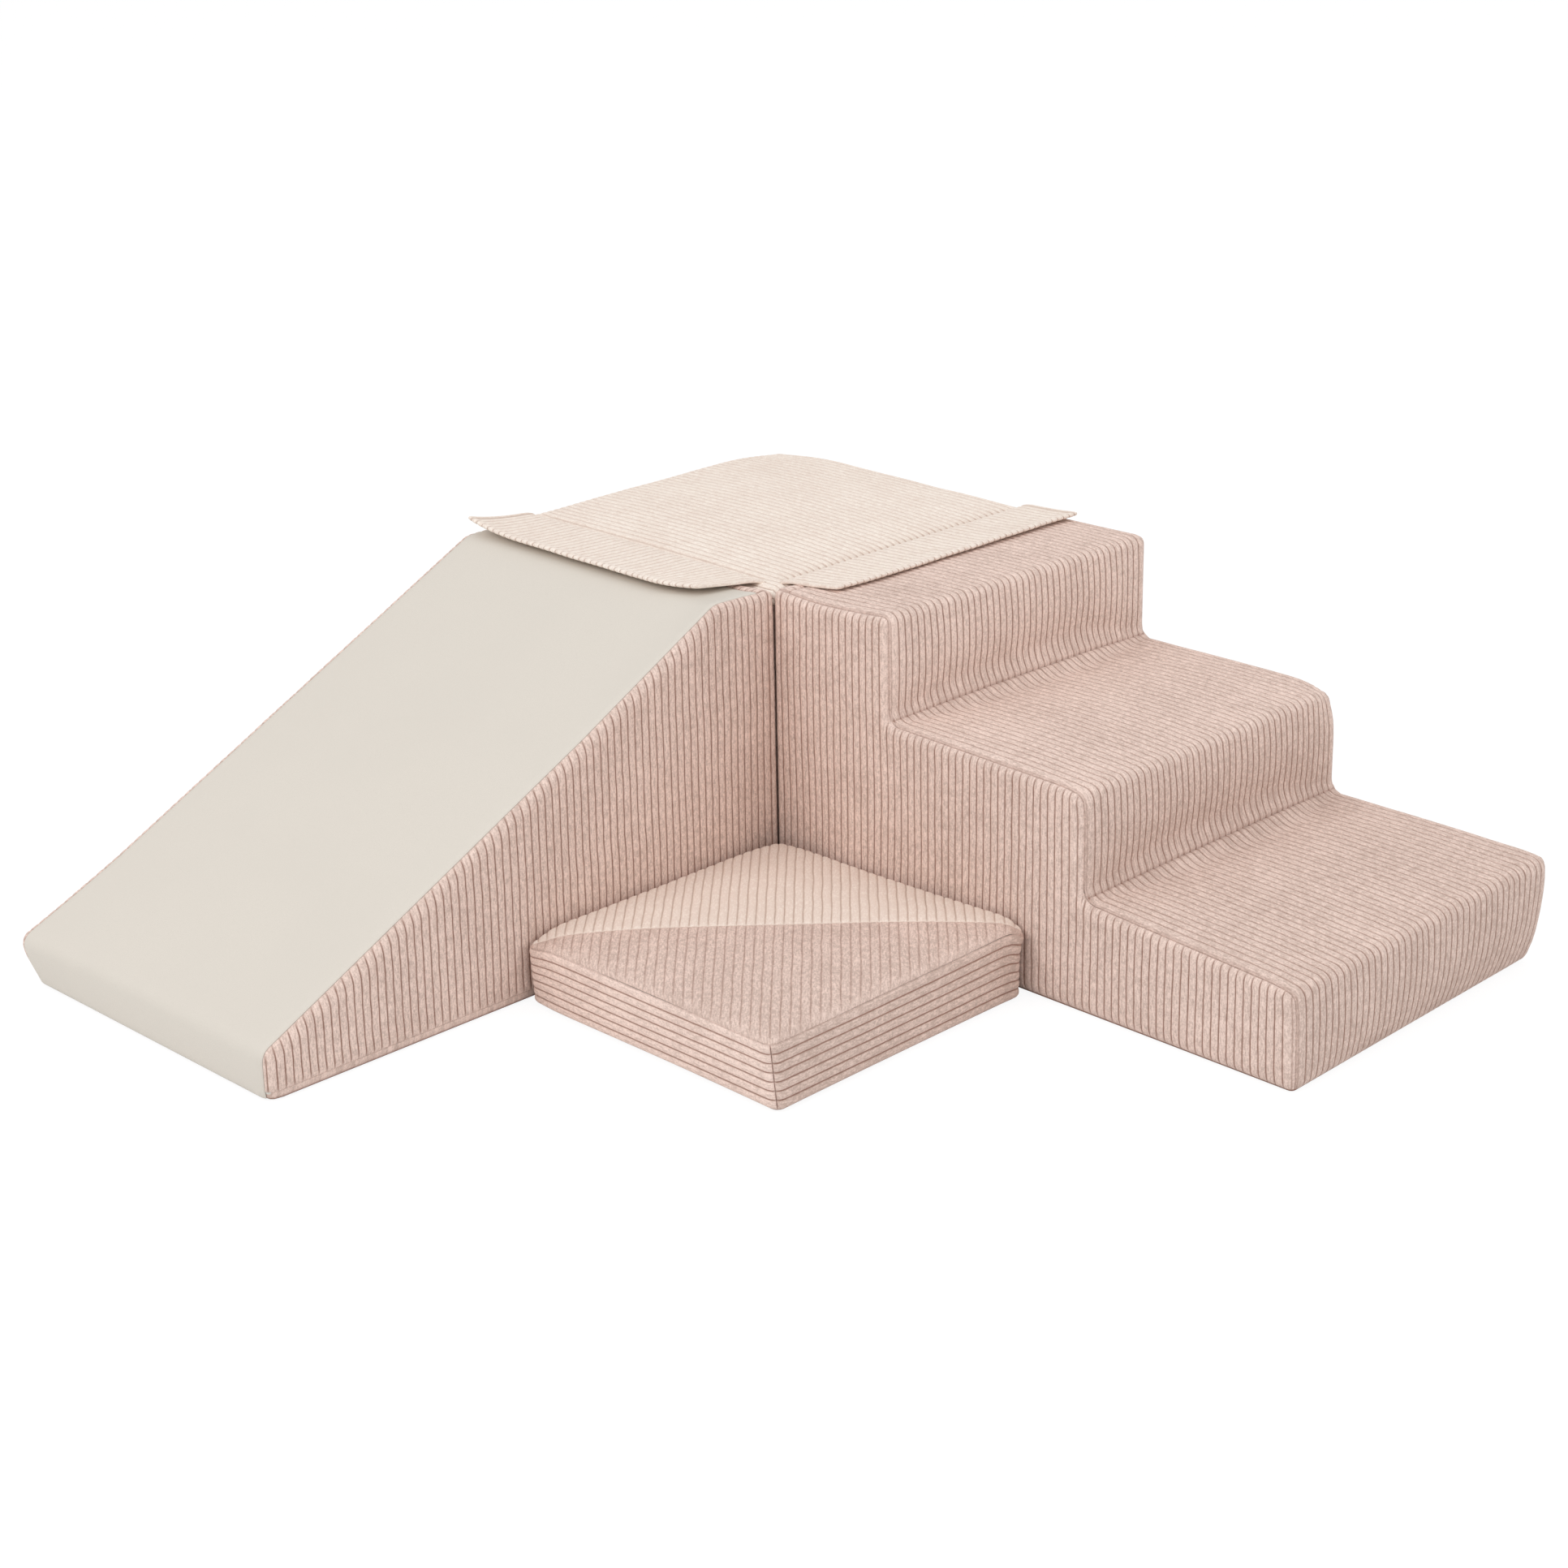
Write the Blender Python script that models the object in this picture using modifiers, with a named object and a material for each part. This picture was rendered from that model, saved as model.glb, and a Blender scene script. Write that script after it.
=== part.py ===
"""Soft play foam climber: a platform block, a slide ramp, a stair block and a corner mat.

Each block is a firm foam core inside a sewn cover. Two flaps on the platform close over the ramp and the
stairs with hook and loop strips. Metres, +Z up. The floor is z = 0, and the origin is under the middle of
the whole set. Every block has its own frame: x runs away from the platform, y across, z up.
"""

from math import radians

import bmesh
import bpy
from mathutils import Matrix, Vector

# Driving sizes of the set
BLOCK_WIDTH = 0.500
PLATFORM_HEIGHT = 0.420
RAMP_LENGTH = 0.820
RAMP_FLAT_TOP = 0.095
RAMP_NOSE_HEIGHT = 0.062
STEP_COUNT = 3
TOP_TREAD_DEPTH = 0.196
TREAD_DEPTH = 0.318
MAT_SIDE = 0.428
MAT_HEIGHT = 0.089

# Gaps: between pieces that touch, round the foam, between blocks pushed together, and beside the mat
FIT_GAP = 0.0003
FOAM_GAP = 0.0006
BLOCK_GAP = 0.0006
MAT_GAP_TO_RAMP = 0.007
MAT_GAP_TO_STAIRS = 0.014

# Sewn covers
COVER_THICKNESS = 0.0024
EDGE_RADIUS = 0.018
BASE_RADIUS = 0.007
KNEE_RADIUS = 0.040
NOSE_RADIUS = 0.022
MAT_EDGE_RADIUS = 0.007
MAT_CORNER_RADIUS = 0.014
SEAM_MARGIN = 0.002
STAIR_SIDE_SEAM = 0.006
ROUNDING_STEPS = 3

# Soft shape: how far the covers swell and draw in
PLATFORM_CROWN = 0.008
MAT_CROWN = 0.006
MAT_DRAW_IN = 0.0025
MAT_RIGHT_CORNER_LIFT = 0.014
MAT_LEFT_CORNER_DROP = 0.005
STAIR_TOE_DRAW_IN = 0.018
STAIR_TOE_REACH = 0.090
CROWN_CUT_SHARES = (-0.78, -0.48, -0.16, 0.16, 0.48, 0.78)
TOE_CUT_SHARES = (-0.5, 0.0, 0.5)
TOE_HEIGHT_SHARES = (0.3, 0.6)
MAT_SIDE_BAND_SHARES = (0.28, 0.72)

# Zips: a slot in the cover, a tape with its coil behind it, and a slider with no pull tab
ZIP_LENGTH = 0.320
ZIP_HEIGHT = 0.060
ZIP_PLACE_SHARE = 0.333
ZIP_TAPE_WIDTH = 0.024
ZIP_TAPE_THICKNESS = 0.0010
ZIP_COIL_WIDTH = 0.0044
ZIP_COIL_HEIGHT = 0.0015
ZIP_STOP_LENGTH = 0.003
SLIDER_LENGTH = 0.014
SLIDER_WIDTH = 0.009
SLIDER_HEIGHT = 0.0040
SLIDER_ROUNDING = 0.0008

# Flaps and their hook and loop strips
FLAP_THICKNESS = 0.0025
FLAP_SEAM_INSET = 0.025
LEFT_FLAP_REACH = 0.092
RIGHT_FLAP_REACH = 0.076
FLAP_NEAR_SETBACK = 0.034
FLAP_FAR_SETBACK = 0.012
FLAP_NEAR_TAPER = 0.028
FLAP_CORNER_CUT = 0.026
FLAP_NEAR_LIFT = 0.004
FLAP_FAR_LIFT = 0.020
FLAP_FLAT_MARGIN = 0.005
FLAP_LENGTH_STEPS = 16
FLAP_WIDTH_STEPS = 8
STRIP_LENGTH = 0.250
STRIP_WIDTH = 0.022
STRIP_THICKNESS = 0.0013
STRIP_INSET = 0.042

# Working values for cutters and merging
OVERRUN = 0.010
MERGE_DISTANCE = 0.00001
FLAT_ANGLE = radians(1)

# Sizes that follow from those above
RISE = PLATFORM_HEIGHT / STEP_COUNT
STAIRS_LENGTH = TOP_TREAD_DEPTH + (STEP_COUNT - 1) * TREAD_DEPTH
HALF_WIDTH = BLOCK_WIDTH / 2
HALF_MAT = MAT_SIDE / 2
EDGE_SEAM = EDGE_RADIUS + SEAM_MARGIN
BASE_SEAM = BASE_RADIUS + SEAM_MARGIN
CORE_INSET = COVER_THICKNESS + FOAM_GAP
SLOT_HEIGHT = SLIDER_WIDTH + 2 * FIT_GAP
TAPE_FACE = -(COVER_THICKNESS + FIT_GAP)
SLIDER_FOOT = TAPE_FACE + FIT_GAP
SLIDER_STAND_OUT = SLIDER_FOOT + SLIDER_HEIGHT
SLIDER_TRAVEL = ZIP_LENGTH - SLIDER_LENGTH - 2 * (ZIP_STOP_LENGTH + FIT_GAP)
STRIP_STACK = 2 * STRIP_THICKNESS + 3 * FIT_GAP
CORNER_X = (BLOCK_WIDTH + SLIDER_STAND_OUT - STAIRS_LENGTH - BLOCK_GAP) / 2
CORNER_Y = (RAMP_LENGTH + BLOCK_GAP - BLOCK_WIDTH - SLIDER_STAND_OUT) / 2

# Colours, linear RGB, with roughness
FINISHES = {
    "rose_corduroy": ((0.58, 0.41, 0.34), 0.95),
    "light_corduroy": ((0.80, 0.68, 0.60), 0.95),
    "coated_cloth": ((0.72, 0.67, 0.61), 0.55),
    "foam": ((0.78, 0.76, 0.70), 0.90),
    "zip_tape": ((0.56, 0.42, 0.36), 0.80),
    "zip_slider": ((0.62, 0.55, 0.50), 0.40),
    "hook_strip": ((0.66, 0.58, 0.52), 0.70),
    "loop_strip": ((0.66, 0.56, 0.50), 0.95),
}


def clear_scene():
    """Remove every object of the start-up scene."""
    for old in list(bpy.data.objects):
        bpy.data.objects.remove(old, do_unlink=True)


def new_collection(name):
    """A collection linked to the scene."""
    collection = bpy.data.collections.new(name)
    bpy.context.scene.collection.children.link(collection)
    return collection


clear_scene()
PARTS = new_collection("soft_play_foam_climber")
CUTTERS = new_collection("cutters")


def finish(name):
    """The material of that name, made on its first use."""
    if name in bpy.data.materials:
        return bpy.data.materials[name]
    colour, roughness = FINISHES[name]
    material = bpy.data.materials.new(name)
    material.use_nodes = True
    shader = material.node_tree.nodes["Principled BSDF"]
    shader.inputs["Base Color"].default_value = (*colour, 1)
    shader.inputs["Roughness"].default_value = roughness
    shader.inputs["Metallic"].default_value = 0
    material.diffuse_color = (*colour, 1)
    return material


def frame(name, place, turn=0, parent=None):
    """An empty that carries one block, flap or slider."""
    empty = bpy.data.objects.new(name, None)
    empty.location = place
    empty.rotation_euler.z = turn
    empty.parent = parent
    PARTS.objects.link(empty)
    return empty


def part(name, mesh, parent, material, place=None):
    """A named piece in its parent's frame, with its material."""
    piece = bpy.data.objects.new(name, mesh)
    PARTS.objects.link(piece)
    piece.parent = parent
    if place is not None:
        piece.matrix_local = place
    if not mesh.materials:
        mesh.materials.append(finish(material))
    piece.material_slots[0].link = "OBJECT"
    piece.material_slots[0].material = finish(material)
    return piece


def cutter(name, mesh, parent, place=None):
    """A cutting shape in its parent's frame, left out of the part."""
    shape = bpy.data.objects.new(name, mesh)
    CUTTERS.objects.link(shape)
    shape.parent = parent
    if place is not None:
        shape.matrix_local = place
    shape.hide_render = True
    shape.display_type = "WIRE"
    return shape


def boolean(piece, shape, operation="DIFFERENCE"):
    """Cut the piece with the shape, keep only what they share, or join them."""
    modifier = piece.modifiers.new(f"{operation.lower()}_{shape.name}", "BOOLEAN")
    modifier.operation = operation
    modifier.solver = "EXACT"
    modifier.object = shape


def box_mesh(name, low, high):
    """A box between two corners."""
    low, high = Vector(low), Vector(high)
    work = bmesh.new()
    bmesh.ops.create_cube(work, size=1)
    bmesh.ops.scale(work, vec=high - low, verts=work.verts)
    bmesh.ops.translate(work, vec=(low + high) / 2, verts=work.verts)
    mesh = bpy.data.meshes.new(name)
    work.to_mesh(mesh)
    work.free()
    return mesh


def evaluated_mesh(source):
    """The mesh that an object gives with its modifiers; the object is removed."""
    graph = bpy.context.evaluated_depsgraph_get()
    mesh = bpy.data.meshes.new_from_object(source.evaluated_get(graph))
    bpy.data.objects.remove(source, do_unlink=True)
    return mesh


def outline_mesh(name, points, depth):
    """A flat outline in x and y, given depth along z and centred on z = 0."""
    curve = bpy.data.curves.new(name, "CURVE")
    curve.dimensions = "2D"
    curve.fill_mode = "BOTH"
    curve.extrude = depth / 2
    spline = curve.splines.new("POLY")
    spline.points.add(len(points) - 1)
    for point, place in zip(spline.points, points):
        point.co = (*place, 0, 1)
    spline.use_cyclic_u = True
    source = bpy.data.objects.new(name, curve)
    CUTTERS.objects.link(source)
    mesh = evaluated_mesh(source)
    work = bmesh.new()
    work.from_mesh(mesh)
    bmesh.ops.remove_doubles(work, verts=work.verts, dist=MERGE_DISTANCE)
    bmesh.ops.dissolve_limit(work, angle_limit=FLAT_ANGLE, verts=work.verts, edges=work.edges)
    bmesh.ops.recalc_face_normals(work, faces=work.faces)
    work.to_mesh(mesh)
    work.free()
    return mesh


def inset_outline(points, distance):
    """The outline, which runs anticlockwise, with each of its sides moved inwards."""
    moved = []
    for before, here, after in zip(points[-1:] + points[:-1], points, points[1:] + points[:1]):
        arriving = (here - before).normalized().orthogonal()
        leaving = (after - here).normalized().orthogonal()
        moved.append(here + (arriving + leaving) * distance / (1 + arriving.dot(leaving)))
    return moved


class Corner:
    """A point of a side outline, with the rounding of its edge across the block and of the side after it."""

    def __init__(self, x, z, across, side):
        self.point = Vector((x, z))
        self.across = across
        self.side = side


class SoftShape:
    """A rounded side outline across a block's width, softened by a formula."""

    def __init__(self, corners, width, cuts=(), soften=None):
        self.corners = corners
        self.width = width
        self.cuts = cuts
        self.soften = soften

    def rounding(self, edge, points, distance):
        """The radius of one edge of the outline's solid, in the curve's own frame."""
        start, end = (vertex.co for vertex in edge.verts)
        middle = ((start + end) / 2).to_2d()
        if abs(end.z - start.z) > MERGE_DISTANCE:
            nearest = min(range(len(points)), key=lambda i: (points[i] - middle).length)
            radius = self.corners[nearest].across
        else:
            afters = points[1:] + points[:1]
            nearest = min(range(len(points)), key=lambda i: ((points[i] + afters[i]) / 2 - middle).length)
            radius = self.corners[nearest].side
        return max(radius - distance, 0)

    def solid(self, name, distance):
        """The shape's mesh with every face moved inwards by a distance."""
        points = inset_outline([corner.point for corner in self.corners], distance)
        mesh = outline_mesh(name, points, self.width - 2 * distance)
        work = bmesh.new()
        work.from_mesh(mesh)
        weights = work.edges.layers.float.new("bevel_weight_edge")
        radii = {edge: self.rounding(edge, points, distance) for edge in work.edges}
        widest = max(radii.values())
        for edge, radius in radii.items():
            edge[weights] = radius / widest
        work.to_mesh(mesh)
        work.free()
        source = bpy.data.objects.new(name, mesh)
        CUTTERS.objects.link(source)
        bevel = source.modifiers.new("rounding", "BEVEL")
        bevel.limit_method = "WEIGHT"
        bevel.width = widest
        bevel.segments = ROUNDING_STEPS
        rounded = evaluated_mesh(source)
        rounded.transform(Matrix.Rotation(radians(90), 4, "X"))
        self.shape(rounded)
        return rounded

    def shape(self, mesh):
        """Add the grid lines that the soft shape needs, and move the points by its formula."""
        work = bmesh.new()
        work.from_mesh(mesh)
        for axis, places in self.cuts:
            for place in places:
                normal = Vector((0, 0, 0))
                normal[axis] = 1
                everything = work.verts[:] + work.edges[:] + work.faces[:]
                bmesh.ops.bisect_plane(
                    work, geom=everything, dist=MERGE_DISTANCE, plane_co=normal * place, plane_no=normal
                )
        if self.soften is not None:
            for vertex in work.verts:
                vertex.co = self.soften(vertex.co)
        work.to_mesh(mesh)
        work.free()


class Block:
    """A foam block: its frame, the mesh of its whole cover and the cavity inside it."""

    def __init__(self, name, place, turn, shape):
        self.name = name
        self.shape = shape
        self.frame = frame(f"{name}_block", place, turn, ORIGIN)
        self.cover_mesh = shape.solid(f"{name}_cover", 0)
        cavity = shape.solid(f"{name}_cavity", COVER_THICKNESS)
        self.cavity = cutter(cavity.name, cavity, self.frame)

    def panel(self, name, material, low, high):
        """One sewn panel: the part of the cover that lies in a box."""
        piece = part(name, self.cover_mesh, self.frame, material)
        boolean(piece, self.cavity)
        region = cutter(f"{name}_region", box_mesh(f"{name}_region", low, high), self.frame)
        boolean(piece, region, "INTERSECT")
        return piece

    def foam(self, name, shape=None):
        """Foam that fills the cover, or a slab of it with a shape of its own."""
        mesh = (shape or self.shape).solid(name, CORE_INSET)
        return part(name, mesh, self.frame, "foam")


def zip_frame(side, x, y, z):
    """The place of a zip on a face across the block: x along it, y up, z out of the face."""
    up = Vector((0, 0, 1))
    outward = Vector((0, side, 0))
    turn = Matrix((up.cross(outward), up, outward)).transposed().to_4x4()
    return Matrix.Translation((x, side * y, z)) @ turn


def along_zip(mesh):
    """Turn a cross-section given depth so that its depth runs along the zip."""
    mesh.transform(Matrix(((0, 0, 1, 0), (1, 0, 0, 0), (0, 1, 0, 0), (0, 0, 0, 1))))
    return mesh


def add_zip(block, panel, core, place):
    """A zip in one panel: its slot, the hollow behind it, the tape with its coil, and the slider."""
    half_length = ZIP_LENGTH / 2
    slot = box_mesh(
        f"{block.name}_zip_slot",
        (-half_length, -SLOT_HEIGHT / 2, -OVERRUN),
        (half_length, SLOT_HEIGHT / 2, OVERRUN),
    )
    boolean(panel, cutter(slot.name, slot, block.frame, place))
    half_tape = ZIP_TAPE_WIDTH / 2
    tape_end = half_length + half_tape
    tape_back = TAPE_FACE - ZIP_TAPE_THICKNESS
    hollow = box_mesh(
        f"{block.name}_zip_hollow",
        (-tape_end - FIT_GAP, -half_tape - FIT_GAP, tape_back - FIT_GAP),
        (tape_end + FIT_GAP, half_tape + FIT_GAP, OVERRUN),
    )
    boolean(core, cutter(hollow.name, hollow, block.frame, place))

    tape_middle = TAPE_FACE - ZIP_TAPE_THICKNESS / 2
    tape = part(
        f"{block.name}_zip_tape",
        box_mesh("zip_tape", (-tape_end, -half_tape, tape_back), (tape_end, half_tape, TAPE_FACE)),
        block.frame,
        "zip_tape",
        place,
    )
    coil = ZIP_COIL_WIDTH / 2
    coil_top = TAPE_FACE + ZIP_COIL_HEIGHT
    coil_section = [
        Vector((-coil, tape_middle)),
        Vector((coil, tape_middle)),
        Vector((coil / 2, coil_top)),
        Vector((-coil / 2, coil_top)),
    ]
    teeth = along_zip(outline_mesh(f"{block.name}_zip_coil", coil_section, ZIP_LENGTH - ZIP_STOP_LENGTH))
    boolean(tape, cutter(teeth.name, teeth, block.frame, place), "UNION")
    for end in (-1, 1):
        outer = end * (half_length - FIT_GAP)
        inner = end * (half_length - ZIP_STOP_LENGTH)
        stop = box_mesh(
            f"{block.name}_zip_stop_{'start' if end < 0 else 'end'}",
            (min(outer, inner), -SLIDER_WIDTH / 2, tape_middle),
            (max(outer, inner), SLIDER_WIDTH / 2, 0),
        )
        boolean(tape, cutter(stop.name, stop, block.frame, place), "UNION")

    half_slider = SLIDER_WIDTH / 2
    channel = coil + FIT_GAP
    channel_top = coil_top + FIT_GAP
    slider_section = [
        Vector((-half_slider, SLIDER_FOOT)),
        Vector((-channel, SLIDER_FOOT)),
        Vector((-channel, channel_top)),
        Vector((channel, channel_top)),
        Vector((channel, SLIDER_FOOT)),
        Vector((half_slider, SLIDER_FOOT)),
        Vector((half_slider, SLIDER_STAND_OUT)),
        Vector((-half_slider, SLIDER_STAND_OUT)),
    ]
    slider = part(
        f"{block.name}_zip_slider",
        along_zip(outline_mesh(f"{block.name}_zip_slider", slider_section, SLIDER_LENGTH)),
        block.frame,
        "zip_slider",
        place @ Matrix.Translation((-SLIDER_TRAVEL / 2, 0, 0)),
    )
    bevel = slider.modifiers.new("worn_edges", "BEVEL")
    bevel.width = SLIDER_ROUNDING
    bevel.segments = 1


def smooth(value):
    """A step from 0 to 1 with a soft start and end."""
    value = min(max(value, 0), 1)
    return value * value * (3 - 2 * value)


def platform_crown(x, y):
    """How far the platform's top stands above its edges, from its middle."""
    across = min(abs(x) / HALF_WIDTH, 1)
    along = min(abs(y) / HALF_WIDTH, 1)
    return PLATFORM_CROWN * (1 - across**2) * (1 - along**2)


def soften_platform(place):
    """The platform's top swells; its walls and base stay flat."""
    height_share = max(place.z / PLATFORM_HEIGHT, 0)
    return place + Vector((0, 0, platform_crown(place.x, place.y) * height_share))


def soften_stairs(place):
    """The lowest step draws in towards the floor at its far corner."""
    near_end = smooth((place.x - STAIRS_LENGTH + STAIR_TOE_REACH) / STAIR_TOE_REACH)
    towards_far = (place.y / HALF_WIDTH + 1) / 2
    near_floor = max(1 - place.z / RISE, 0) ** 2
    return place - Vector((STAIR_TOE_DRAW_IN * near_end * towards_far * near_floor, 0, 0))


def soften_mat(place):
    """The mat has a crown, seams drawn in above and below its side band, and uneven corners."""
    across, along = place.x / HALF_MAT, place.y / HALF_MAT
    height_share = place.z / MAT_HEIGHT
    low, high = MAT_SIDE_BAND_SHARES
    outside_band = max(low - height_share, height_share - high, 0) / low
    drawn = MAT_DRAW_IN * min(outside_band, 1) ** 2
    crown = MAT_CROWN * max(1 - across**2, 0) * max(1 - along**2, 0)
    right = MAT_RIGHT_CORNER_LIFT * ((1 + across) / 2 * (1 + along) / 2) ** 2
    left = MAT_LEFT_CORNER_DROP * ((1 - across) / 2 * (1 - along) / 2) ** 2
    return place + Vector((
        -drawn * across * max(1 - along**2, 0),
        -drawn * along * max(1 - across**2, 0),
        (crown + right - left) * height_share,
    ))


def shares_of(size, shares):
    """Places along a size, given as shares of it."""
    return tuple(size * share for share in shares)


def box_corners(half_length, height, top_radius, upright_radius):
    """The side outline of a box-shaped block."""
    return [
        Corner(-half_length, 0, BASE_RADIUS, BASE_RADIUS),
        Corner(half_length, 0, BASE_RADIUS, upright_radius),
        Corner(half_length, height, top_radius, top_radius),
        Corner(-half_length, height, top_radius, upright_radius),
    ]


def build_platform():
    """The platform block: a light top, four walls, a base and the foam."""
    grid = shares_of(HALF_WIDTH, CROWN_CUT_SHARES)
    block = Block(
        "platform",
        (-HALF_WIDTH, HALF_WIDTH, 0),
        0,
        SoftShape(
            box_corners(HALF_WIDTH, PLATFORM_HEIGHT, EDGE_RADIUS, EDGE_RADIUS),
            BLOCK_WIDTH,
            ((0, grid), (1, grid)),
            soften_platform,
        ),
    )
    far = HALF_WIDTH + OVERRUN
    roof = PLATFORM_HEIGHT + PLATFORM_CROWN + OVERRUN
    seam = HALF_WIDTH - EDGE_SEAM
    top_seam = PLATFORM_HEIGHT - EDGE_SEAM
    low = BASE_SEAM + FIT_GAP
    high = top_seam - FIT_GAP
    inner = seam - FIT_GAP
    block.panel("platform_top_panel", "light_corduroy", (-far, -far, top_seam), (far, far, roof))
    block.panel("platform_ramp_side_wall", "rose_corduroy", (-far, -far, low), (far, -seam, high))
    back = block.panel("platform_back_wall", "rose_corduroy", (-far, seam, low), (far, far, high))
    block.panel("platform_outer_wall", "rose_corduroy", (-far, -inner, low), (-seam, inner, high))
    block.panel("platform_stair_side_wall", "rose_corduroy", (seam, -inner, low), (far, inner, high))
    block.panel("platform_base_panel", "rose_corduroy", (-far, -far, -OVERRUN), (far, far, BASE_SEAM))
    core = block.foam("platform_foam_core")
    add_zip(block, back, core, zip_frame(1, 0, HALF_WIDTH, ZIP_HEIGHT))
    return block


def build_ramp():
    """The slide ramp: a coated sliding sheet between two corduroy sides, a back, a base and the foam."""
    block = Block(
        "ramp",
        (-HALF_WIDTH, -BLOCK_GAP, 0),
        radians(-90),
        SoftShape(
            [
                Corner(0, 0, BASE_RADIUS, BASE_RADIUS),
                Corner(RAMP_LENGTH, 0, BASE_RADIUS, EDGE_RADIUS),
                Corner(RAMP_LENGTH, RAMP_NOSE_HEIGHT, NOSE_RADIUS, EDGE_RADIUS),
                Corner(RAMP_FLAT_TOP, PLATFORM_HEIGHT, KNEE_RADIUS, EDGE_RADIUS),
                Corner(0, PLATFORM_HEIGHT, EDGE_RADIUS, EDGE_RADIUS),
            ],
            BLOCK_WIDTH,
        ),
    )
    far = HALF_WIDTH + OVERRUN
    roof = PLATFORM_HEIGHT + OVERRUN
    end = RAMP_LENGTH + OVERRUN
    seam = HALF_WIDTH - EDGE_SEAM
    inner = seam - FIT_GAP
    low = BASE_SEAM + FIT_GAP
    block.panel("slide_sheet", "coated_cloth", (EDGE_SEAM + FIT_GAP, -inner, low), (end, inner, roof))
    block.panel("ramp_inner_side", "rose_corduroy", (-OVERRUN, seam, low), (end, far, roof))
    outer = block.panel("ramp_outer_side", "rose_corduroy", (-OVERRUN, -far, low), (end, -seam, roof))
    block.panel("ramp_back_wall", "rose_corduroy", (-OVERRUN, -inner, low), (EDGE_SEAM, inner, roof))
    block.panel("ramp_base_panel", "rose_corduroy", (-OVERRUN, -far, -OVERRUN), (end, far, BASE_SEAM))
    core = block.foam("ramp_foam_core")
    add_zip(block, outer, core, zip_frame(-1, RAMP_LENGTH * ZIP_PLACE_SHARE, HALF_WIDTH, ZIP_HEIGHT))
    return block


def stair_corners():
    """The stairs' side outline, from the floor at the platform round by the treads."""
    corners = [Corner(0, 0, BASE_RADIUS, BASE_RADIUS)]
    for step in range(STEP_COUNT):
        nose = STAIRS_LENGTH - step * TREAD_DEPTH
        crease_rounding = BASE_RADIUS if step == 0 else 0
        corners.append(Corner(nose, step * RISE, crease_rounding, EDGE_RADIUS))
        corners.append(Corner(nose, (step + 1) * RISE, EDGE_RADIUS, EDGE_RADIUS))
    corners.append(Corner(0, PLATFORM_HEIGHT, EDGE_RADIUS, EDGE_RADIUS))
    return corners


def build_stair_foam(block):
    """One foam slab for each step, each on the one below."""
    slabs = []
    floor = 0
    for step in range(STEP_COUNT):
        nose = STAIRS_LENGTH - step * TREAD_DEPTH
        roof = (step + 1) * RISE
        under_radius = BASE_RADIUS if step == 0 else CORE_INSET
        corners = [
            Corner(0, floor, under_radius, under_radius),
            Corner(nose, floor, under_radius, EDGE_RADIUS),
            Corner(nose, roof, EDGE_RADIUS, EDGE_RADIUS),
            Corner(0, roof, EDGE_RADIUS, EDGE_RADIUS),
        ]
        shape = SoftShape(corners, BLOCK_WIDTH, block.shape.cuts, block.shape.soften)
        slabs.append(block.foam(f"stair_foam_slab_{step + 1}", shape))
        floor = roof - 2 * CORE_INSET + FIT_GAP
    return slabs


def build_stairs():
    """The stair block: one tread and riser strip between two sides, an end wall, a base and foam slabs."""
    block = Block(
        "stairs",
        (BLOCK_GAP, HALF_WIDTH, 0),
        0,
        SoftShape(
            stair_corners(),
            BLOCK_WIDTH,
            (
                (0, (STAIRS_LENGTH - STAIR_TOE_REACH, STAIRS_LENGTH - STAIR_TOE_REACH / 2)),
                (1, shares_of(HALF_WIDTH, TOE_CUT_SHARES)),
                (2, shares_of(RISE, TOE_HEIGHT_SHARES)),
            ),
            soften_stairs,
        ),
    )
    far = HALF_WIDTH + OVERRUN
    roof = PLATFORM_HEIGHT + OVERRUN
    end = STAIRS_LENGTH + OVERRUN
    seam = HALF_WIDTH - STAIR_SIDE_SEAM
    inner = seam - FIT_GAP
    low = BASE_SEAM + FIT_GAP
    start = EDGE_SEAM + FIT_GAP
    block.panel("tread_and_riser_strip", "rose_corduroy", (start, -inner, low), (end, inner, roof))
    block.panel("stairs_inner_side", "rose_corduroy", (-OVERRUN, -far, low), (end, -seam, roof))
    outer = block.panel("stairs_outer_side", "rose_corduroy", (-OVERRUN, seam, low), (end, far, roof))
    block.panel("stairs_end_wall", "rose_corduroy", (-OVERRUN, -inner, low), (EDGE_SEAM, inner, roof))
    block.panel("stairs_base_panel", "rose_corduroy", (-OVERRUN, -far, -OVERRUN), (end, far, BASE_SEAM))
    slabs = build_stair_foam(block)
    place = zip_frame(1, STAIRS_LENGTH * ZIP_PLACE_SHARE, HALF_WIDTH, ZIP_HEIGHT)
    add_zip(block, outer, slabs[0], place)
    return block


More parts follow.
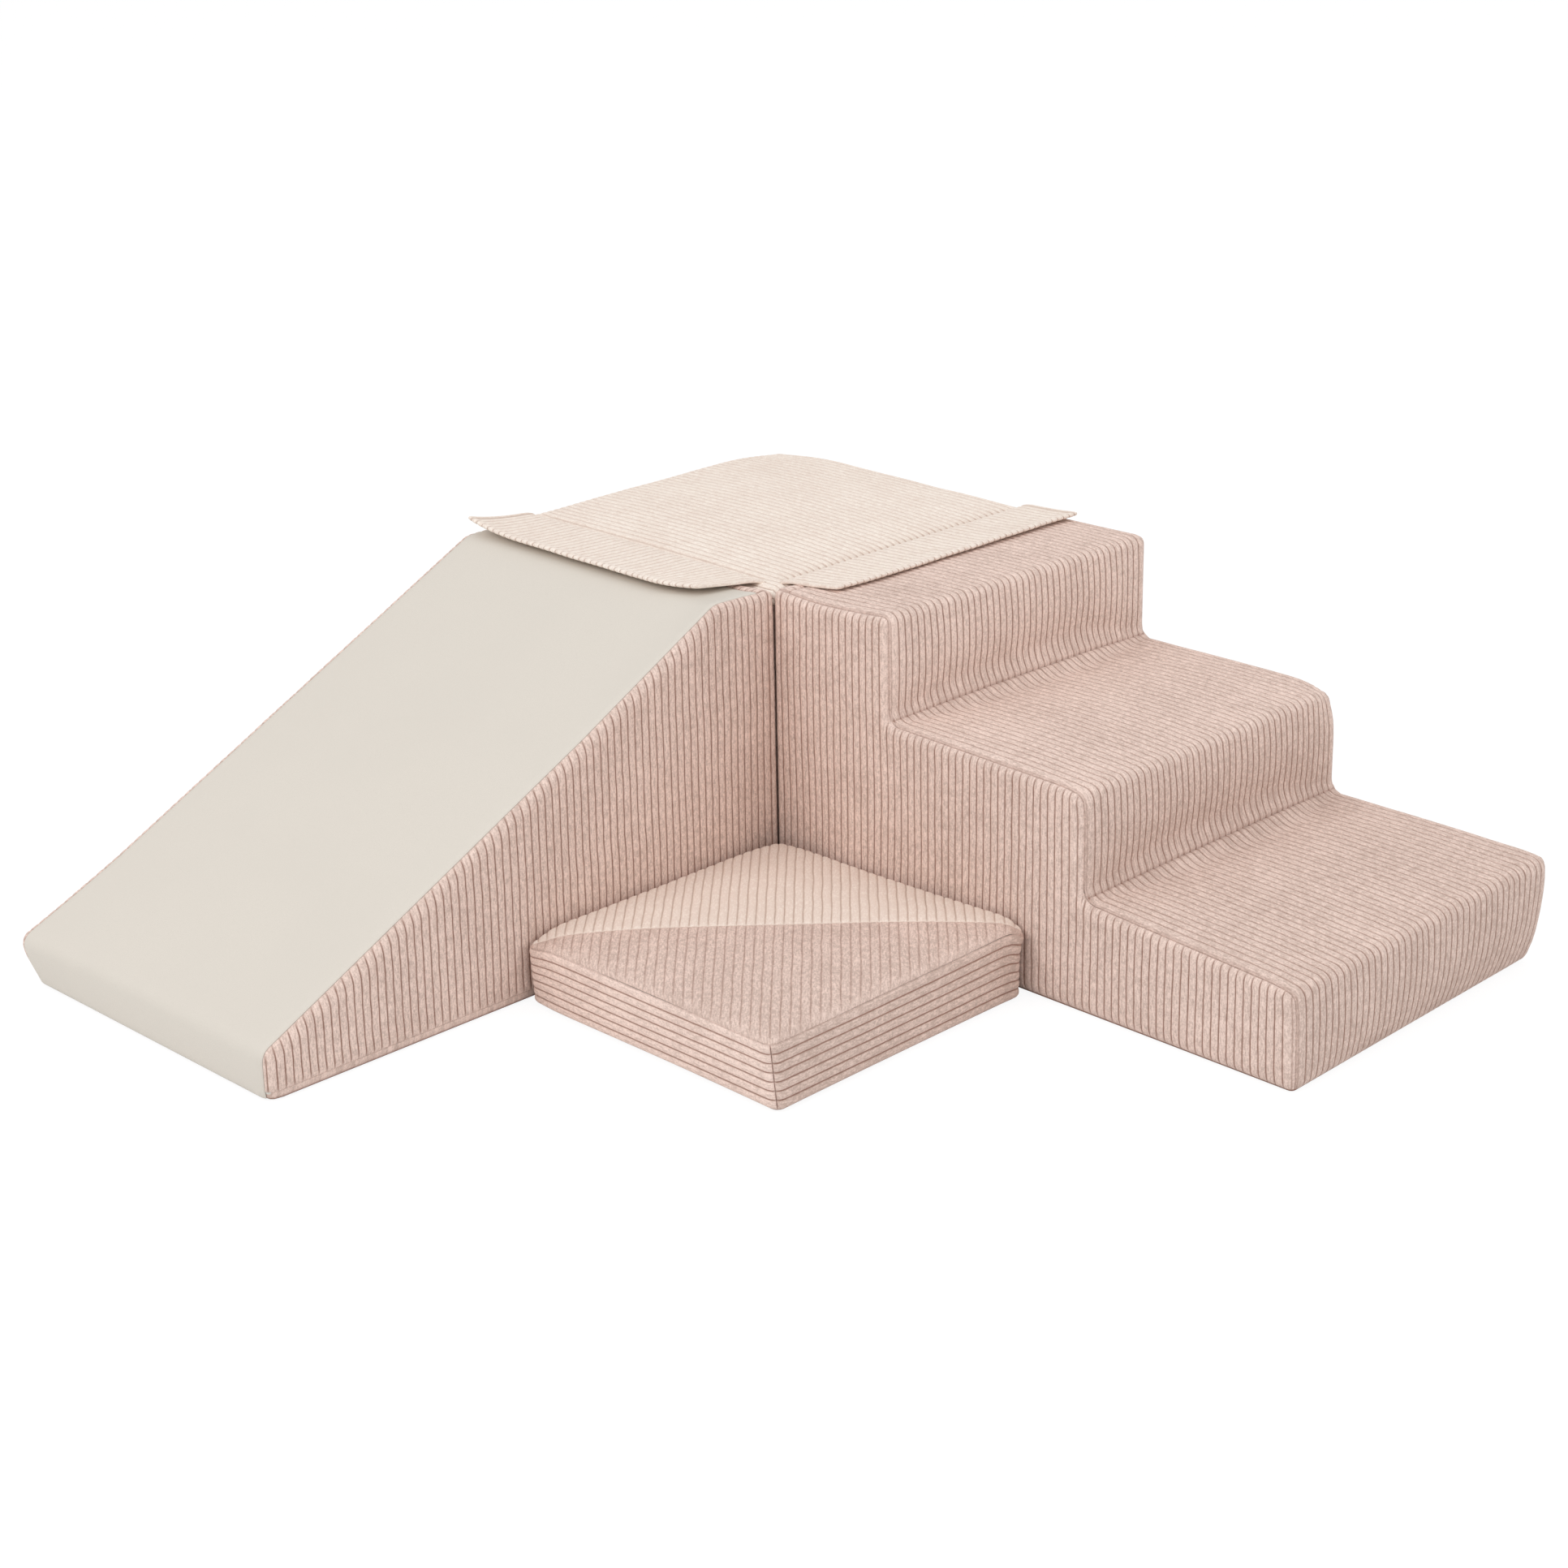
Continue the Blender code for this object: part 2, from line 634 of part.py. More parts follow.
def build_mat():
    """The corner mat: two top triangles, four gusset sides, a base and the foam."""
    grid = shares_of(HALF_MAT, CROWN_CUT_SHARES)
    block = Block(
        "mat",
        (MAT_GAP_TO_RAMP + HALF_MAT, -MAT_GAP_TO_STAIRS - HALF_MAT, 0),
        0,
        SoftShape(
            box_corners(HALF_MAT, MAT_HEIGHT, MAT_EDGE_RADIUS, MAT_CORNER_RADIUS),
            MAT_SIDE,
            ((0, grid), (1, grid), (2, shares_of(MAT_HEIGHT, MAT_SIDE_BAND_SHARES))),
            soften_mat,
        ),
    )
    far = HALF_MAT + OVERRUN
    roof = MAT_HEIGHT + MAT_CROWN + MAT_RIGHT_CORNER_LIFT + OVERRUN
    top_seam = MAT_HEIGHT - MAT_EDGE_RADIUS - SEAM_MARGIN
    low = BASE_SEAM + FIT_GAP
    high = top_seam - FIT_GAP
    seam = HALF_MAT - MAT_CORNER_RADIUS - SEAM_MARGIN
    inner = seam - FIT_GAP
    diagonal = Matrix.Rotation(radians(45), 4, "Z")
    for name, material, side in (
        ("mat_light_triangle", "light_corduroy", 1),
        ("mat_rose_triangle", "rose_corduroy", -1),
    ):
        piece = block.panel(name, material, (-far, -far, top_seam), (far, far, roof))
        low_y, high_y = sorted((side * FIT_GAP / 2, side * 2 * far))
        half = box_mesh(f"{name}_half", (-2 * far, low_y, -OVERRUN), (2 * far, high_y, roof))
        boolean(piece, cutter(half.name, half, block.frame, diagonal), "INTERSECT")
    block.panel("mat_front_left_gusset", "rose_corduroy", (-far, -far, low), (far, -seam, high))
    back = block.panel("mat_back_right_gusset", "rose_corduroy", (-far, seam, low), (far, far, high))
    block.panel("mat_back_left_gusset", "rose_corduroy", (-far, -inner, low), (-seam, inner, high))
    block.panel("mat_front_right_gusset", "rose_corduroy", (seam, -inner, low), (far, inner, high))
    block.panel("mat_base_panel", "rose_corduroy", (-far, -far, -OVERRUN), (far, far, BASE_SEAM))
    core = block.foam("mat_foam_core")
    add_zip(block, back, core, zip_frame(1, 0, HALF_MAT, MAT_HEIGHT / 2))
    return block


class Flap:
    """A cloth flap sewn to the platform's top along a seam, lying over the neighbour's top.

    Its own frame has x along the seam, y out over the neighbour and z up, with the hinge line on x.
    """

    def __init__(self, name, reach, near_end_at, place, turn):
        self.name = name
        self.reach = FLAP_SEAM_INSET + BLOCK_GAP + reach
        self.length = BLOCK_WIDTH - FLAP_NEAR_SETBACK - FLAP_FAR_SETBACK
        self.near_end_at = near_end_at
        self.end_zone = (self.length - STRIP_LENGTH) / 2 - FLAP_FLAT_MARGIN
        seam_crown = platform_crown(0, HALF_WIDTH - FLAP_SEAM_INSET)
        self.axis_height = PLATFORM_HEIGHT + seam_crown + FIT_GAP + FLAP_THICKNESS / 2
        self.frame = frame(f"{name}_hinge", (*place, self.axis_height), turn, ORIGIN)

    def along(self, distance):
        """The x of a place measured from the end by the inner corner."""
        return -self.near_end_at * (distance + FLAP_NEAR_SETBACK - HALF_WIDTH)

    def surface(self, length_share, width_share):
        """A point of the flap's middle surface."""
        near = FLAP_NEAR_TAPER * width_share
        distance = near + (self.length - near) * length_share
        near_share = max(1 - distance / self.end_zone, 0) ** 2
        far_share = max(1 - (self.length - distance) / self.end_zone, 0) ** 2
        out = width_share * (self.reach - FLAP_CORNER_CUT * near_share)
        x = self.along(distance)
        seam_height = PLATFORM_HEIGHT + platform_crown(x, HALF_WIDTH - FLAP_SEAM_INSET) + FIT_GAP
        rest_height = PLATFORM_HEIGHT + STRIP_STACK
        laid = seam_height + (rest_height - seam_height) * smooth(out / FLAP_SEAM_INSET)
        lift = (FLAP_NEAR_LIFT * near_share + FLAP_FAR_LIFT * far_share) * width_share**2
        return Vector((x, out, laid + lift + FLAP_THICKNESS / 2 - self.axis_height))

    def build(self):
        """The cloth, as a grid given its thickness, and the hook strip under it."""
        work = bmesh.new()
        bmesh.ops.create_grid(
            work, x_segments=FLAP_LENGTH_STEPS, y_segments=FLAP_WIDTH_STEPS, size=1
        )
        for vertex in work.verts:
            vertex.co = self.surface((vertex.co.x + 1) / 2, (vertex.co.y + 1) / 2)
        bmesh.ops.recalc_face_normals(work, faces=work.faces)
        mesh = bpy.data.meshes.new(self.name)
        work.to_mesh(mesh)
        work.free()
        cloth = part(self.name, mesh, self.frame, "light_corduroy")
        solidify = cloth.modifiers.new("cloth_thickness", "SOLIDIFY")
        solidify.thickness = FLAP_THICKNESS
        solidify.offset = 0
        top = PLATFORM_HEIGHT + STRIP_STACK - FIT_GAP - self.axis_height
        start = FLAP_SEAM_INSET + BLOCK_GAP + STRIP_INSET
        ends = sorted((self.along(self.strip_start()), self.along(self.strip_start() + STRIP_LENGTH)))
        strip = box_mesh(
            f"{self.name}_hook_strip",
            (ends[0], start, top - STRIP_THICKNESS),
            (ends[1], start + STRIP_WIDTH, top),
        )
        part(f"{self.name}_hook_strip", strip, self.frame, "hook_strip")

    def strip_start(self):
        """Where the strips start, measured from the end by the inner corner."""
        return (self.length - STRIP_LENGTH) / 2


def add_loop_strip(name, block, flap, near_side):
    """The loop strip sewn on the neighbour's top, under the flap's hook strip."""
    nearest = HALF_WIDTH - FLAP_NEAR_SETBACK - flap.strip_start()
    ends = sorted((near_side * nearest, near_side * (nearest - STRIP_LENGTH)))
    bottom = PLATFORM_HEIGHT + FIT_GAP
    top = bottom + STRIP_THICKNESS
    strip = box_mesh(name, (STRIP_INSET, ends[0], bottom), (STRIP_INSET + STRIP_WIDTH, ends[1], top))
    part(name, strip, block.frame, "loop_strip")


ORIGIN = frame("set_origin", (CORNER_X, CORNER_Y, 0))
PLATFORM = build_platform()
RAMP = build_ramp()
STAIRS = build_stairs()
MAT = build_mat()
LEFT_FLAP = Flap("left_flap", LEFT_FLAP_REACH, -1, (-HALF_WIDTH, FLAP_SEAM_INSET), radians(180))
RIGHT_FLAP = Flap("right_flap", RIGHT_FLAP_REACH, 1, (-FLAP_SEAM_INSET, HALF_WIDTH), radians(-90))
LEFT_FLAP.build()
RIGHT_FLAP.build()
add_loop_strip("ramp_loop_strip", RAMP, LEFT_FLAP, 1)
add_loop_strip("stairs_loop_strip", STAIRS, RIGHT_FLAP, -1)
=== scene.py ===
"""Soft play foam climber, dressed: ribbed covers, slide sheet, flaps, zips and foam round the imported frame.

Every cover panel is a grid of cloth that follows its foam block, with the corduroy's ribs in the mesh itself.
Metres, +Z up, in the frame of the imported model.
"""

from __future__ import annotations

import functools
import logging
import math
from dataclasses import dataclass
from enum import Enum
from typing import Callable, Sequence

import bmesh
import bpy
import numpy as np
from mathutils import Matrix, Vector


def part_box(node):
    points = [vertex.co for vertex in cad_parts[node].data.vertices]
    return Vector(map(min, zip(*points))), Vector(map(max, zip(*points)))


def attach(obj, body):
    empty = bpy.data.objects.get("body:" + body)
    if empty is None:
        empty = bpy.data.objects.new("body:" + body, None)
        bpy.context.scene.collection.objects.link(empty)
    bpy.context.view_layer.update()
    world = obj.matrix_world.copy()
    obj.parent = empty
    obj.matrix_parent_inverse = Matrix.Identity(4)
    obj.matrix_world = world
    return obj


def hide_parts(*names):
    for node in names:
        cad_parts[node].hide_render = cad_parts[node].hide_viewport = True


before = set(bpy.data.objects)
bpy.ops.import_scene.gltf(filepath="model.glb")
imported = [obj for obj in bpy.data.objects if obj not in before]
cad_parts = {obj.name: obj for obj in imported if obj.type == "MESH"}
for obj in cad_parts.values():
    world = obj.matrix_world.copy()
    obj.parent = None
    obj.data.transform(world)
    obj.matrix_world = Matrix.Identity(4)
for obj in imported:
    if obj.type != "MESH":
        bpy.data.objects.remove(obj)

LOG = logging.getLogger("climber")
MERGE = 1e-5
TINY = 1e-9
RAYS = ("Camera", "Glossy", "Transmission")
FOAM_INSET = 0.0035
FINE_TURN = math.radians(6)
ZIP_HEIGHT = 0.060
FLAP_SEAM_DEPTH = 0.0036
FLAP_SEAM_REACH = 0.007
END_ROWS = (0.0012, 0.003, 0.006, 0.010)
LID_ROWS = (0.0012, 0.003, 0.006, 0.0105, 0.016, 0.022, 0.028, 0.034)
LIP_ROWS = (0.0012, 0.003, 0.005, 0.007, 0.009, 0.011, 0.013, 0.015, 0.018)
SEAM_ROWS = (0.0012, 0.003, 0.006, 0.011)
Array = np.ndarray
Colour = tuple[float, float, float]
Corner = tuple[float, float, float]
Pair = tuple[float, float]
Row = tuple[float, ...]
Mesh = bpy.types.Mesh
Work = bmesh.types.BMesh
Shape = Callable[[Array], Array]


class Slot(str, Enum):
    """The record's material slots."""

    ROSE = "rose_corduroy"
    LIGHT = "light_corduroy"
    COATED = "coated_cloth"
    FOAM = "foam"
    TAPE = "zip_tape"
    SLIDER = "zip_slider"
    HOOK = "hook_strip"
    LOOP = "loop_strip"


class Side(Enum):
    """The sides of a box block, with the way each faces."""

    BACK = (0, 1)
    RIGHT = (1, 0)
    FRONT = (0, -1)
    LEFT = (-1, 0)


# Shader tools


class Sock:
    """A shader socket that Python's operators work on."""

    def __init__(self, shader: "Shader", socket: bpy.types.NodeSocket) -> None:
        """Wrap a socket of a shader's tree."""
        self.shader = shader
        self.socket = socket

    def math(self, operation: str, *others: "Sock | float", first: "Sock | float | None" = None) -> "Sock":
        """Add one Math node.

        Args:
            operation: The node's operation.
            others: The values after this one.
            first: A value before this one, for the reflected operators.

        Returns:
            The node's value.
        """
        values = [self, *others] if first is None else [first, self]
        node = self.shader.add("ShaderNodeMath", {"operation": operation}, dict(enumerate(values)))
        return Sock(self.shader, node.outputs[0])

    def __add__(self, other: "Sock | float") -> "Sock":
        """The sum."""
        return self.math("ADD", other)

    def __sub__(self, other: "Sock | float") -> "Sock":
        """The difference."""
        return self.math("SUBTRACT", other)

    def __rsub__(self, other: float) -> "Sock":
        """The difference from a number."""
        return self.math("SUBTRACT", first=other)

    def __mul__(self, other: "Sock | float") -> "Sock":
        """The product."""
        return self.math("MULTIPLY", other)

    def __pow__(self, other: "Sock | float") -> "Sock":
        """The power."""
        return self.math("POWER", other)

    __radd__ = __add__
    __rmul__ = __mul__


class Shader:
    """A material's or the world's nodes, and the one way they are added."""

    def __init__(self, name: str, world: bool = False) -> None:
        """Start a material with a Principled shader, or a world with a Background."""
        self.owner = (bpy.data.worlds if world else bpy.data.materials).new(name)
        self.owner.use_nodes = True
        self.tree = self.owner.node_tree
        self.surface = self.tree.nodes["Background" if world else "Principled BSDF"]

    def add(self, kind: str, settings: dict | None = None, sockets: dict | None = None) -> bpy.types.Node:
        """Add a node.

        Args:
            kind: The node's type.
            settings: Its own properties, set first.
            sockets: Values or links for its inputs, by name or number.

        Returns:
            The node.
        """
        node = self.tree.nodes.new(kind)
        for key, value in (settings or {}).items():
            setattr(node, key, value)
        for key, value in (sockets or {}).items():
            self.feed(node.inputs[key], value)
        return node

    def feed(self, target: bpy.types.NodeSocket, value: object) -> None:
        """Set a socket to a value or link it."""
        if isinstance(value, Sock):
            self.tree.links.new(value.socket, target)
        elif isinstance(value, bpy.types.NodeSocket):
            self.tree.links.new(value, target)
        else:
            target.default_value = value

    def noise(self, where: object, scale: float, detail: float = 2, roughness: float = 0.5) -> Sock:
        """A noise value from 0 to 1 at a place in metres."""
        settings = {"noise_dimensions": "3D"}
        sockets = {"Vector": where, "Scale": scale, "Detail": detail, "Roughness": roughness}
        return Sock(self, self.add("ShaderNodeTexNoise", settings, sockets).outputs[0])

    def places(self, name: str) -> tuple[Sock, Sock]:
        """The two values of a UV map."""
        spot = self.add("ShaderNodeUVMap", {"uv_map": name}).outputs[0]
        parts = self.add("ShaderNodeSeparateXYZ", {}, {0: spot})
        return Sock(self, parts.outputs[0]), Sock(self, parts.outputs[1])

    def place(self) -> bpy.types.NodeSocket:
        """The place on the piece, in metres."""
        return self.add("ShaderNodeTexCoord").outputs["Object"]

    def seen(self) -> Sock:
        """1 for rays from the camera, also by way of a mirror or glass, and 0 for the rest."""
        path = self.add("ShaderNodeLightPath")
        camera, mirror, glass = (Sock(self, path.outputs[f"Is {way} Ray"]) for way in RAYS)
        return camera.math("MAXIMUM", mirror).math("MAXIMUM", glass)

    def mix(self, share: object, one: object, other: object) -> bpy.types.NodeSocket:
        """A colour between two colours."""
        node = self.add("ShaderNodeMix", {"data_type": "RGBA"})
        self.feed(node.inputs[0], share)
        self.feed(node.inputs[6], one)
        self.feed(node.inputs[7], other)
        return node.outputs[2]

    def ramp(self, value: object, low: float, high: float, bottom: float, top: float) -> Sock:
        """A value's range turned smoothly into another range."""
        sockets = {"Value": value, "From Min": low, "From Max": high, "To Min": bottom, "To Max": top}
        node = self.add("ShaderNodeMapRange", {"interpolation_type": "SMOOTHSTEP"}, sockets)
        return Sock(self, node.outputs[0])

    def bump(self, height: Sock, distance: float, strength: float) -> None:
        """Feed a height in shares of a distance to the surface's normal."""
        node = self.add("ShaderNodeBump", {}, {"Height": height, "Distance": distance, "Strength": strength})
        self.feed(self.surface.inputs["Normal"], node.outputs[0])

    def set(self, **values: object) -> None:
        """Set the surface's own sockets, with underscores for spaces in their names."""
        for key, value in values.items():
            self.feed(self.surface.inputs[key.replace("_", " ")], value)


def tint(colour: Colour, factor: float) -> tuple[float, float, float, float]:
    """A colour made lighter or darker, with its alpha."""
    return tuple(min(part * factor, 1.0) for part in colour) + (1.0,)


@dataclass(frozen=True)
class Corduroy:
    """Wide-ribbed corduroy: a rounded pile rib between narrow dark grooves.

    Colours are linear. The UV map "ribs" counts ribs across and metres along. "sewing" holds how far the
    ribs stand up, which sets the painted shade in the grooves, and how near a seam is, which sets the painted
    shade along seams. "nap" holds painted light and shade: how much lighter or darker each whole panel is
    painted, for how the light falls on it and for the pile's sheen.
    """

    name: str
    slot: Slot
    colour: Colour
    groove: Colour
    contrast: float = 0.24
    patch_scale: float = 11.0
    mottle_scale: float = 48.0
    streaks_across: float = 5.2
    streaks_along: float = 105.0
    grain_scale: float = 420.0
    groove_reach: float = 0.30
    groove_strength: float = 0.88
    sheen: float = 0.18
    redness: float = 0.05

    def deep(self) -> Colour:
        """The pile's colour where it lies dark, a little redder."""
        red, green, blue = self.colour
        return red, green * (1 - self.redness), blue * (1 - 1.6 * self.redness)

    def material(self) -> bpy.types.Material:
        """The corduroy's material."""
        shader = Shader(self.name)
        across, along = shader.places("ribs")
        relief, sewn = shader.places("sewing")
        depth = 1 - across.math("PINGPONG", 0.5) * 2
        groove = shader.ramp(depth, 1 - self.groove_reach, 1.0, 0.0, 1.0)
        where = shader.place()
        patch = shader.noise(where, self.patch_scale, 3, 0.6)
        mottle = shader.noise(where, self.mottle_scale, 2, 0.6)
        grain = shader.noise(where, self.grain_scale, 2, 0.7)
        pile = {0: across * self.streaks_across, 1: along * self.streaks_along}
        streak = shader.noise(shader.add("ShaderNodeCombineXYZ", {}, pile).outputs[0], 1.0, 3, 0.7)
        light = patch * 0.10 + mottle * 0.12 + streak * 0.48 + grain * 0.30
        # Painted light and shade: each panel's own share, from the third UV map, makes the whole panel
        # lighter or darker.
        light = shader.ramp(light, 0.36, 0.64, 0.0, 1.0) + shader.places("painted_light")[0]
        low, high = tint(self.deep(), 1 - self.contrast), tint(self.colour, 1 + self.contrast)
        # Painted shade: the grooves, the grooves' ends at a seam and a thin line along each seam darken
        # towards the groove colour, for the shade in these hollows.
        ends = sewn * shader.ramp(depth, 0.45, 1.0, 0.0, 1.0)
        dark = (groove * relief * self.groove_strength).math("MAXIMUM", ends * 0.9)
        dark = dark.math("MAXIMUM", sewn**4 * 0.35)
        shader.set(Base_Color=shader.mix(dark, shader.mix(light, low, high), (*self.groove, 1.0)))
        shader.set(Roughness=0.92, Specular_IOR_Level=0.2)
        shader.set(Sheen_Weight=self.sheen, Sheen_Roughness=0.5, Sheen_Tint=(1.0, 0.88, 0.82, 1.0))
        shader.bump(grain * 0.5 + streak * 0.5, 0.0009, 0.6)
        return shader.owner


@dataclass(frozen=True)
class CoatedCloth:
    """Smooth coated cloth with a fine matt grain."""

    name: str
    slot: Slot
    colour: Colour

    def material(self) -> bpy.types.Material:
        """The sliding sheet's material."""
        shader = Shader(self.name)
        where = shader.place()
        cloud = shader.noise(where, 6.0, 3, 0.5)
        grain = shader.noise(where, 1500.0, 2, 0.6)
        sockets = {"Vector": where, "Scale": 900.0}
        cells = shader.add("ShaderNodeTexVoronoi", {"feature": "DISTANCE_TO_EDGE"}, sockets)
        wrinkle = shader.ramp(Sock(shader, cells.outputs[0]), 0.0, 0.25, 0.0, 1.0)
        light = shader.ramp(cloud, 0.35, 0.65, 0.0, 1.0)
        cloth = shader.mix(light, tint(self.colour, 0.985), tint(self.colour, 1.015))
        shader.set(Base_Color=shader.mix(wrinkle, tint(self.colour, 0.95), cloth))
        shader.set(Roughness=shader.ramp(cloud, 0.3, 0.7, 0.50, 0.60), Specular_IOR_Level=0.35)
        shader.bump(wrinkle * 0.7 + grain * 0.3, 0.0002, 0.35)
        return shader.owner


@dataclass(frozen=True)
class PlainFinish:
    """A small part's finish: a colour with a grain of its own scale."""

    name: str
    slot: Slot
    colour: Colour
    roughness: float
    grain_scale: float
    contrast: float = 0.08
    bump: float = 0.0003
    metallic: float = 0.0
    coat: float = 0.0

    def material(self) -> bpy.types.Material:
        """The finish's material."""
        shader = Shader(self.name)
        where = shader.place()
        grain = shader.noise(where, self.grain_scale, 3, 0.6)
        wear = shader.noise(where, self.grain_scale / 12, 2, 0.5)
        light = shader.ramp(grain * 0.6 + wear * 0.4, 0.3, 0.7, 0.0, 1.0)
        low, high = tint(self.colour, 1 - self.contrast), tint(self.colour, 1 + self.contrast)
        shader.set(Base_Color=shader.mix(light, low, high), Metallic=self.metallic, Coat_Weight=self.coat)
        shader.set(Roughness=shader.ramp(grain, 0.2, 0.8, self.roughness - 0.05, self.roughness + 0.05))
        shader.bump(grain, self.bump, 0.5)
        return shader.owner


# Each cloth's second colour is the painted shade in its grooves and along its seams.
ROSE = Corduroy("rose_corduroy_cloth", Slot.ROSE, (0.778, 0.618, 0.549), (0.265, 0.120, 0.082))
LIGHT = Corduroy(
    "light_corduroy_cloth", Slot.LIGHT, (0.930, 0.823, 0.744), (0.420, 0.250, 0.180), 0.11,
    groove_strength=0.75,
)
COATED = CoatedCloth("coated_slide_cloth", Slot.COATED, (0.740, 0.687, 0.615))
FOAM = PlainFinish("open_cell_foam", Slot.FOAM, (0.78, 0.76, 0.70), 0.9, 700.0, 0.12, 0.0010)
TAPE = PlainFinish("woven_zip_tape", Slot.TAPE, (0.52, 0.37, 0.31), 0.85, 1400.0, 0.12)
COIL = PlainFinish("nylon_zip_coil", Slot.TAPE, (0.55, 0.41, 0.35), 0.45, 500.0, 0.05, 0.0001)
SLIDER = PlainFinish(
    "lacquered_zip_slider", Slot.SLIDER, (0.60, 0.52, 0.47), 0.35, 300.0, 0.06, 5e-5, 0.3, 0.4
)
HOOKS = PlainFinish("nylon_hook_tape", Slot.HOOK, (0.66, 0.57, 0.51), 0.65, 1100.0, 0.16, 0.0009)
LOOPS = PlainFinish("nylon_loop_tape", Slot.LOOP, (0.66, 0.56, 0.50), 0.95, 800.0, 0.14, 0.0010)
Finish = Corduroy | CoatedCloth | PlainFinish


@functools.cache
def material_of(finish: Finish) -> bpy.types.Material:
    """The Blender material of a finish, made on its first use."""
    return finish.material()


# Cloth as grids


def spaced(low: float, high: float, step: float, fine: Sequence[float] = SEAM_ROWS) -> Array:
    """Places from low to high, closer together near both ends, where the seams are."""
    count = max(int(round((high - low - 2 * fine[-1]) / step)), 1)
    middle = np.linspace(low + fine[-1], high - fine[-1], count + 1)[1:-1]
    return np.array([low, *(low + f for f in fine), *middle, *(high - f for f in reversed(fine)), high])


def with_places(places: Array, extra: Sequence[float], clear: float) -> Array:
    """Places with some more among them, and without those that lie too near a new one."""
    if not len(extra):
        return places
    kept = [p for p in places[1:-1] if min(abs(p - e) for e in extra) > clear]
    return np.array(sorted([places[0], *kept, *extra, places[-1]]))


def split(points: Array) -> tuple[Array, Array, Array]:
    """The x, the y and the z of points."""
    return points[..., 0], points[..., 1], points[..., 2]


def within(values: Array) -> Array:
    """Values kept between 0 and 1."""
    return np.clip(values, 0, 1)


def smooth(share: Array) -> Array:
    """A share from 0 to 1, eased at both ends."""
    return share * share * (3 - 2 * share)


def unit(vectors: Array) -> Array:
    """Directions, each of length 1."""
    return vectors / np.maximum(np.linalg.norm(vectors, axis=-1, keepdims=True), TINY)


def bell(away: Array) -> Array:
    """A soft spot's strength, 1 in its middle and falling away from it."""
    return np.exp(-(away**2) / 2)


def waves(points: Array, length: float, seed: int) -> Array:
    """Gentle unevenness from -1 to 1 over a surface.

    Args:
        points: Places, with three coordinates last.
        length: The length of a wave in metres.
        seed: Picks the directions and phases.

    Returns:
        One value for each place.
    """
    draw = np.random.default_rng(seed)
    total = np.zeros(points.shape[:-1])
    for _ in range(5):
        direction = draw.normal(size=3)
        direction /= np.linalg.norm(direction)
        turn = draw.uniform(0, 2 * math.pi)
        total += np.sin(points @ direction * 2 * math.pi / (length * draw.uniform(0.6, 1.5)) + turn)
    return total / 5


@dataclass(frozen=True)
class Ribs:
    """The corduroy's ribs as geometry."""

    pitch: float = 0.0115
    height: float = 0.0018
    stations: Row = (0.0, 0.09, 0.27, 0.5, 0.73, 0.91)
    fullness: float = 2.6
    roundness: float = 0.6

    def lines(self, low: float, high: float, start: float = 0.0, extra: Sequence[float] = ()) -> Array:
        """Places across the ribs where the mesh needs a row of points.

        Args:
            low: The first place.
            high: The last place.
            start: The place of one groove.
            extra: More places that have to be there.

        Returns:
            The places in order.
        """
        first = math.floor((low - start) / self.pitch)
        last = math.ceil((high - start) / self.pitch)
        places = [start + (k + share) * self.pitch for k in range(first, last + 1) for share in self.stations]
        clear = self.pitch * 0.03
        inside = [p for p in places if low + clear < p < high - clear]
        return with_places(np.array([low, *inside, high]), extra, clear)

    def profile(self, across: Array) -> Array:
        """How far the cloth stands up, from 0 in a groove to the rib's height."""
        crest = 1 - np.abs(2 * np.mod(across / self.pitch, 1.0) - 1)
        return self.height * (1 - (1 - crest) ** self.fullness) ** self.roundness


@dataclass
class ClothGrid:
    """A panel as a grid: smooth points, outward normals, ribs, and distance to the seams."""

    points: Array
    normals: Array
    across: Array
    along: Array
    seam: Array
    fade: Array
    # Painted light and shade: how much lighter or darker the whole panel is painted.
    painted_light: Array | float = 0.0

    def area(self) -> float:
        """The cloth's flat area, without its ribs."""
        one = self.points[1:, :-1] - self.points[:-1, :-1]
        other = self.points[:-1, 1:] - self.points[:-1, :-1]
        return float(np.linalg.norm(np.cross(one, other), axis=-1).sum())


def cut_size(grids: Sequence[ClothGrid]) -> Pair:
    """The sizes of the flat cut that some grids give together, across and along."""
    ways = ([grid.across for grid in grids], [grid.along for grid in grids])
    return tuple(float(max(way.max() for way in both) - min(way.min() for way in both)) for both in ways)


